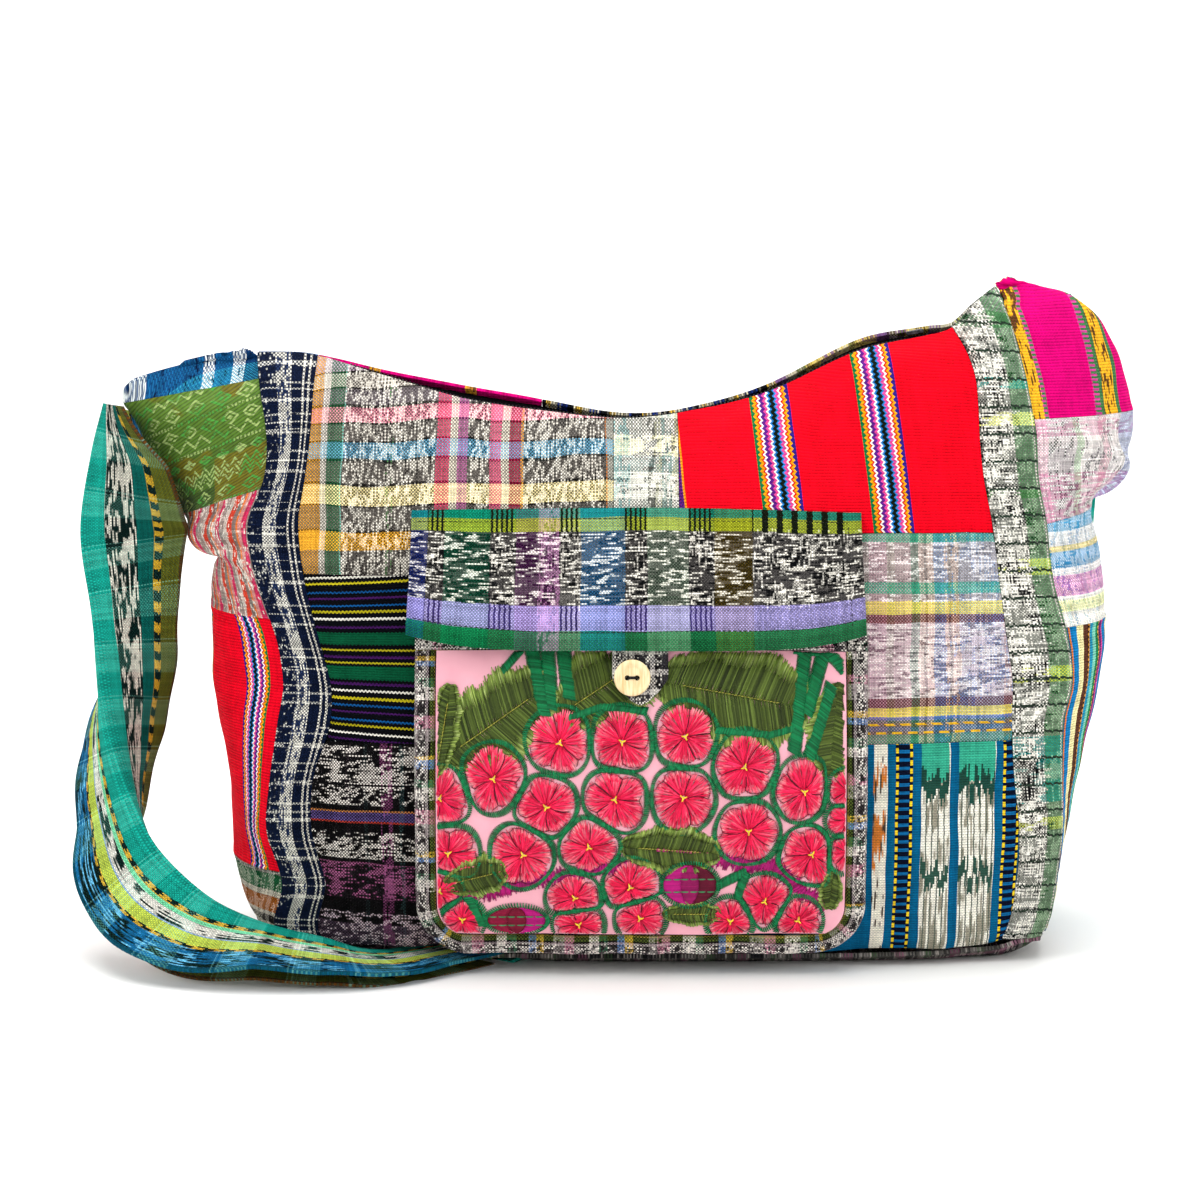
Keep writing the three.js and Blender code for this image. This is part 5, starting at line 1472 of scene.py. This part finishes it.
# Folk embroidery on the pocket. Places are pixels of a picture of its face, and spot gives their millimetres
face = {"px": 600, "py": 800, "x": -30, "z": 92.9, "across": 0.4956, "up": 0.5035}


def spot(px, py):
    return np.array([face["x"] + (px - face["px"]) * face["across"],
                     face["z"] - (py - face["py"]) * face["up"]])


def heading(angle):
    return np.array([math.cos(angle), math.sin(angle)])


stitchDice = random.Random(12)
strands = {"flowers": [], "leaves": [], "greens": []}
shades = {"flowers": (0.78, 1.12), "leaves": (0.55, 1.3), "greens": (0.78, 1.12)}


def insidePocket(points, margin=1.4):
    x, z = points[:, 0], points[:, 1]
    inset = pocketInset(z) + margin
    low = pocket["satinFoot"] + 0.5
    high = pocket["top"] - pocket["hem"] - 0.5
    return (x > pocket["left"] + inset) & (x < pocket["right"] - inset) & (z > low) & (z < high)


# One strand from a to b, pulled down at both ends, kept on the panel, in one colour or fading to a second
def stitch(group, a, b, radius, colour, low, high, bend=0.0, end=None):
    a = np.asarray(a, float)
    b = np.asarray(b, float)
    colours = [colour, end or colour]
    run = a + (b - a) * np.linspace(0, 1, 9)[:, None]
    clear = insidePocket(run)
    if not clear[0] and not clear[-1]:
        return
    if not clear[0]:
        a, b, clear = b, a, clear[::-1]
        colours.reverse()
    if not clear[-1]:
        b = a + (b - a) * (np.argmin(clear) - 1) / 8
    if np.linalg.norm(b - a) < 0.8:
        return
    flat = a + (b - a) * np.array([[0], [0.3], [0.7], [1]])
    flat[1:3] += np.array([a[1] - b[1], b[0] - a[0]]) * bend
    shade = stitchDice.uniform(*shades[group])
    first, last = (np.array(tint(text)) * [shade, shade, shade, 1] for text in colours)
    tones = [np.minimum(mixed(first, last, t), 1) for t in (0, 0.15, 0.75, 1)]
    strands[group].append((flat, (low, high, high, low), radius, tones))


crimsons = ["#f0184c", "#e00f44", "#fa2e5e", "#cc0a3c"]
salmons = ["#f2697f", "#f58494", "#ea4f6c", "#f7a3a8"]
greens = ["#0a7040", "#0c7e49", "#075c34"]
magentas = ["#9c0e66", "#b0146f", "#860a54"]
petalLine = "#3a0412"


# Satin bands: a line of places, width, colours, and how ragged the ends are
def satinBand(places, wide, colours, ragged=0.05, lean=0.35, group="greens", high=1.3):
    pitch = 0.62
    places = [spot(*place) for place in places]
    for a, b in zip(places[:-1], places[1:]):
        way = b - a
        long = np.linalg.norm(way)
        way /= long
        across = np.array([-way[1], way[0]]) + way * lean
        for i in range(int(long / pitch) + 1):
            root = a + way * min(i * pitch, long)
            left = root - across * wide * 0.5 * stitchDice.uniform(1 - ragged, 1 + ragged)
            right = root + across * wide * 0.5 * stitchDice.uniform(1 - ragged, 1 + ragged)
            stitch(group, left, right, 0.5, stitchDice.choice(colours), 0.15, high)


leftShade = [(457, 893), (493, 891), (518, 883), (560, 872), (590, 868), (627, 860)]
rightShade = [(656, 850), (715, 856), (780, 864), (800, 889), (828, 905)]
for places, wide in ((leftShade, 6.5), (rightShade, 7.5)):
    satinBand(places, wide, magentas, 0.5, 0.15, "flowers", 0.6)

# Flowers: place and radius. Petals stop where neighbours meet, and a green line runs along each meeting
flowers = [
    (560, 745, 15), (622, 744, 15), (685, 739, 14.5), (744, 767, 15.5), (803, 790, 15), (495, 779, 15.5),
    (442, 798, 14), (547, 805, 15), (615, 798, 15.5), (683, 796, 15), (748, 828, 15), (811, 851, 16),
    (450, 851, 14), (524, 851, 15.5), (589, 843, 14), (575, 895, 12.5), (630, 883, 13.5), (765, 899, 13),
    (441, 890, 10), (463, 918, 9), (579, 922, 11), (640, 915, 11), (731, 918, 10), (799, 918, 10),
    (846, 790, 9), (846, 818, 9), (846, 850, 9)]
middles = [spot(px, py) for px, py, size in flowers]
petals = {"count": 5, "ring": 2.4, "short": 0.9, "dip": 0.17, "under": 16, "outer": 5.4, "inner": 0.85,
          "tipSteps": 6, "outline": 7.4}


# How far the line between a flower and its neighbours is from its middle
def meeting(order, angle):
    near = (flowers[order][2] + petals["ring"]) ** -8.0
    for i, place in enumerate(middles):
        gap = place - middles[order]
        forward = float(gap @ heading(angle))
        if i != order and forward > 0.5:
            near += (2 * forward / float(gap @ gap)) ** 8
    return near ** -0.125


def rim(order, angle, turn):
    lobe = abs(math.cos(petals["count"] / 2 * (angle - turn))) ** 0.6
    return (meeting(order, angle) - petals["short"]) * (1 - petals["dip"] + petals["dip"] * lobe)


# A strand straight out from a flower's middle
def ray(middle, angle, inner, outer, *look, **more):
    way = heading(angle)
    stitch("flowers", middle + way * inner, middle + way * outer, *look, **more)


for order, (px, py, size) in enumerate(flowers):
    middle = middles[order]
    turn = stitchDice.uniform(0, 6.28)
    for i in range(petals["under"]):
        angle = 2 * math.pi * i / petals["under"]
        ray(middle, angle, 1.5, rim(order, angle, turn) * 0.93, 1.5, "#c8103c", 0.1, 0.35, end="#e65a74")
    count = int(size * petals["outer"])
    for i in range(count):
        angle = 2 * math.pi * (i + stitchDice.uniform(-0.3, 0.3)) / count
        out = rim(order, angle, turn)
        ray(middle, angle, out * stitchDice.uniform(0.5, 0.68), out * stitchDice.uniform(0.94, 1.05), 0.55,
            stitchDice.choice(crimsons), 0.2, 0.75, end=stitchDice.choice(salmons))
    for i in range(int(count * petals["inner"])):
        angle = 2 * math.pi * (i + stitchDice.uniform(-0.4, 0.4)) / (count * petals["inner"])
        out = rim(order, angle, turn)
        ray(middle, angle, out * stitchDice.uniform(0.06, 0.2), out * stitchDice.uniform(0.72, 0.98), 0.52,
            stitchDice.choice(crimsons), 0.4, 1.15, stitchDice.uniform(-0.05, 0.05),
            end=stitchDice.choice(crimsons + ["#ee6a80"]))
    # fine dark lines between the petals and round their tips
    for i in range(petals["count"]):
        angle = turn + math.pi * (2 * i + 1) / petals["count"]
        out = rim(order, angle, turn) * 0.98
        ray(middle, angle, 2.2, out, 0.3, petalLine, 0.9, 1.5, stitchDice.uniform(-0.1, 0.1))
        for k in range(petals["tipSteps"]):
            each = 2 * math.pi / petals["count"]
            tips = [angle + each * (k + step) / petals["tipSteps"] for step in (0, 1)]
            if stitchDice.random() < 0.62:
                ends = [middle + heading(tip) * rim(order, tip, turn) * 0.96 for tip in tips]
                stitch("flowers", ends[0], ends[1], 0.22, petalLine, 0.9, 1.35)
    for i in range(3):
        ray(middle, turn + i * 2.2, -0.4, 1.9, 0.5, "#f2d13c", 1.0, 1.8)
    steps = int(size * petals["outline"])
    for i in range(steps):
        angle = 2 * math.pi * i / steps
        way = heading(angle + 0.35) * (1.35 + 0.35 * math.sin(angle * 3 + order))
        line = middle + heading(angle) * meeting(order, angle)
        stitch("greens", line - way, line + way, 0.5, stitchDice.choice(greens), 0.3, 1.1)

# Leaves: tip, other tip, width. Strands fade from the dark spine to a light toothed edge
leaves = [
    ((440, 764), (552, 690), 42), ((437, 780), (453, 690), 17), ((556, 722), (652, 664), 42),
    ((652, 688), (808, 712), 50), ((838, 686), (828, 776), 28), ((618, 842), (720, 850), 25),
    ((444, 884), (507, 867), 22), ((662, 911), (722, 911), 13), ((833, 868), (829, 907), 13)]
darkLeaf = ["#3a4817", "#49591f", "#2f3b12", "#586a2a"]
paleLeaf = ["#9db257", "#86a044", "#b4c674", "#6f8636"]
for tipA, tipB, wide in leaves:
    tipA, tipB = spot(*tipA), spot(*tipB)
    spine = tipB - tipA
    long = np.linalg.norm(spine)
    spine /= long
    steps = int(long / 0.6)
    over = 0.6 if wide < 26 else 0
    for side in (-1, 1):
        way = np.array([-spine[1], spine[0]]) * side + spine * 0.3
        for i in range(steps):
            s = min(max((i + stitchDice.uniform(-0.2, 0.2)) / steps, 0.02), 0.98)
            toothed = 1 + 0.08 * math.sin(s * 21 + side)
            reach = wide * 0.5 * max(math.sin(math.pi * s), 0.06) ** 0.5 * toothed
            root = tipA + spine * s * long
            dark, pale = stitchDice.choice(darkLeaf), stitchDice.choice(paleLeaf)
            stitch("leaves", root - way * 0.8, root + way * reach * 0.72, 0.55, dark, 0.05, 0.45 + over)
            stitch("leaves", root + way * reach * stitchDice.uniform(0.45, 0.62),
                   root + way * reach * stitchDice.uniform(0.9, 1.06), 0.5, dark, 0.1, 0.6 + over, end=pale)
    for i in range(int(long / 2.6)):
        root = tipA + spine * (long * 0.2 + i * 1.6)
        if i * 1.6 < long * 0.6:
            stitch("leaves", root, root + spine * 1.1 + [0.2, 0.3], 0.2, "#b9b04a", 0.5 + over, 0.8 + over)

# Stems and small greens: places along each, and its width
stems = [
    ([(530, 650), (546, 720)], 7.5), ([(547, 650), (552, 714)], 7.5), ([(562, 650), (570, 706)], 7.5),
    ([(806, 655), (793, 754)], 7), ([(824, 658), (806, 718)], 7), ([(831, 690), (808, 758)], 7),
    ([(526, 654), (503, 680)], 4), ([(826, 658), (852, 684)], 6), ([(780, 656), (830, 660)], 5),
    ([(469, 896), (484, 924)], 6), ([(717, 883), (746, 868), (738, 897)], 5),
    ([(570, 722), (602, 712), (648, 716)], 4), ([(716, 733), (770, 737), (795, 730)], 4)]
for places, wide in stems:
    satinBand(places, wide, greens)

# Buds: satin rows in three tones inside a green outline. Place, width, height, tones
buds = [((517, 918), 29, 13, ("#8e1038", "#7a0d2e", "#b8147a")),
        ((690, 881), 27, 20, ("#b8147a", "#94105a", "#5f0a28"))]
for place, wide, tall, tones in buds:
    centre = spot(*place)
    rows = int(tall / 1.25)
    for i in range(-rows, rows + 1):
        share = i / (rows + 0.5)
        half = wide * 0.5 * math.sqrt(1 - share * share)
        for k, colour in enumerate(tones):
            ends = [half * (2 * e / 3 - 1) for e in (k - 0.12, k + 1.12)]
            a, b = (centre + np.array([end, share * tall * 0.5]) for end in ends)
            stitch("flowers", a, b, 0.5, colour, 0.3, 1.3)
    for i in range(70):
        angle = 2 * math.pi * i / 70
        line = centre + heading(angle) * [wide * 0.53, tall * 0.57]
        way = heading(angle + 0.3) * 1.3
        stitch("greens", line - way, line + way, 0.48, stitchDice.choice(greens), 0.6, 1.6)
    for share in (-0.35, 0.3):
        for i in range(6):
            ends = [wide * 0.5 * (e / 3.2 - 0.94) for e in (i, i + 0.9)]
            a, b = (centre + np.array([end, share * tall * 0.5]) for end in ends)
            stitch("greens", a, b, 0.4, "#3f8a5a", 1.3, 1.7)

flossFinish = threadFinish("embroidery_floss", 0.5, 0.0)
for group, rows in strands.items():
    flats, lifts, radii, tones = (np.array(column) for column in zip(*rows))
    paths = onPocket(flats[..., 0], flats[..., 1], lifts)
    piece = makeThreads(group + "embroidered", paths, radii, tones, flat=0.62)
    sewIn(piece, None, "pink_satin", flossFinish)
    print(group, len(rows), "strands")


# Sewing thread: black running stitches on the flap and hem, and the bar on the button
def runStitches(points, step, cover):
    run = runAlong(points)
    starts = np.arange(0, run[-1] - step, step)
    paths = []
    for t in (0, 0.33, 0.67, 1):
        at = starts + step * cover * t
        paths.append(np.stack([np.interp(at, run, points[:, k]) for k in range(3)], -1))
    return np.stack(paths, 1)


x = np.linspace(flap["left"] + 3, flap["right"] - 3, 200)
wander = 0.5 * np.sin(x / 19)
tall = flap["top"] - flapLow(x)
rise = np.linspace(0.1, 0.92, 60)
sideX = np.full_like(rise, flap["right"] - flap["sideStitch"])
hemX = x[8:-8]
hemZ = pocket["top"] - pocket["hem"] + 1.5
seams = [
    onFlap(x, (flap["lowStitch"] + wander) / tall, 0.15),
    onFlap(x, 1 - (flap["topStitch"] + wander) / tall, 0.15),
    onFlap(sideX, rise, 0.15), onFront(hemX, hemZ, pocketRise(hemX, hemZ) + 0.9)]
sewing = np.concatenate([runStitches(seam, 2.6, 0.78) for seam in seams])
across = np.array([-1, -0.5, 0.5, 1])
high = button["seat"] + button["wall"] - button["dish"] + np.array([-1.6, 0.45, 0.45, -1.6])
barPaths = [onFront(button["x"] + across * wide, button["z"] + lift - 0.25, high)
            for lift, wide in ((0.0, 2.9), (0.5, 2.7), (0.25, 2.8))]
for name, paths, radius, colour in (("flapstitches", sewing, 0.28, "#141416"),
                                    ("buttonthread", barPaths, 0.5, "#121214")):
    piece = makeThreads(name, paths, radius, [tint(colour)] * len(paths))
    sewIn(piece, None, None, flossFinish)
print("embroidery and stitches made")
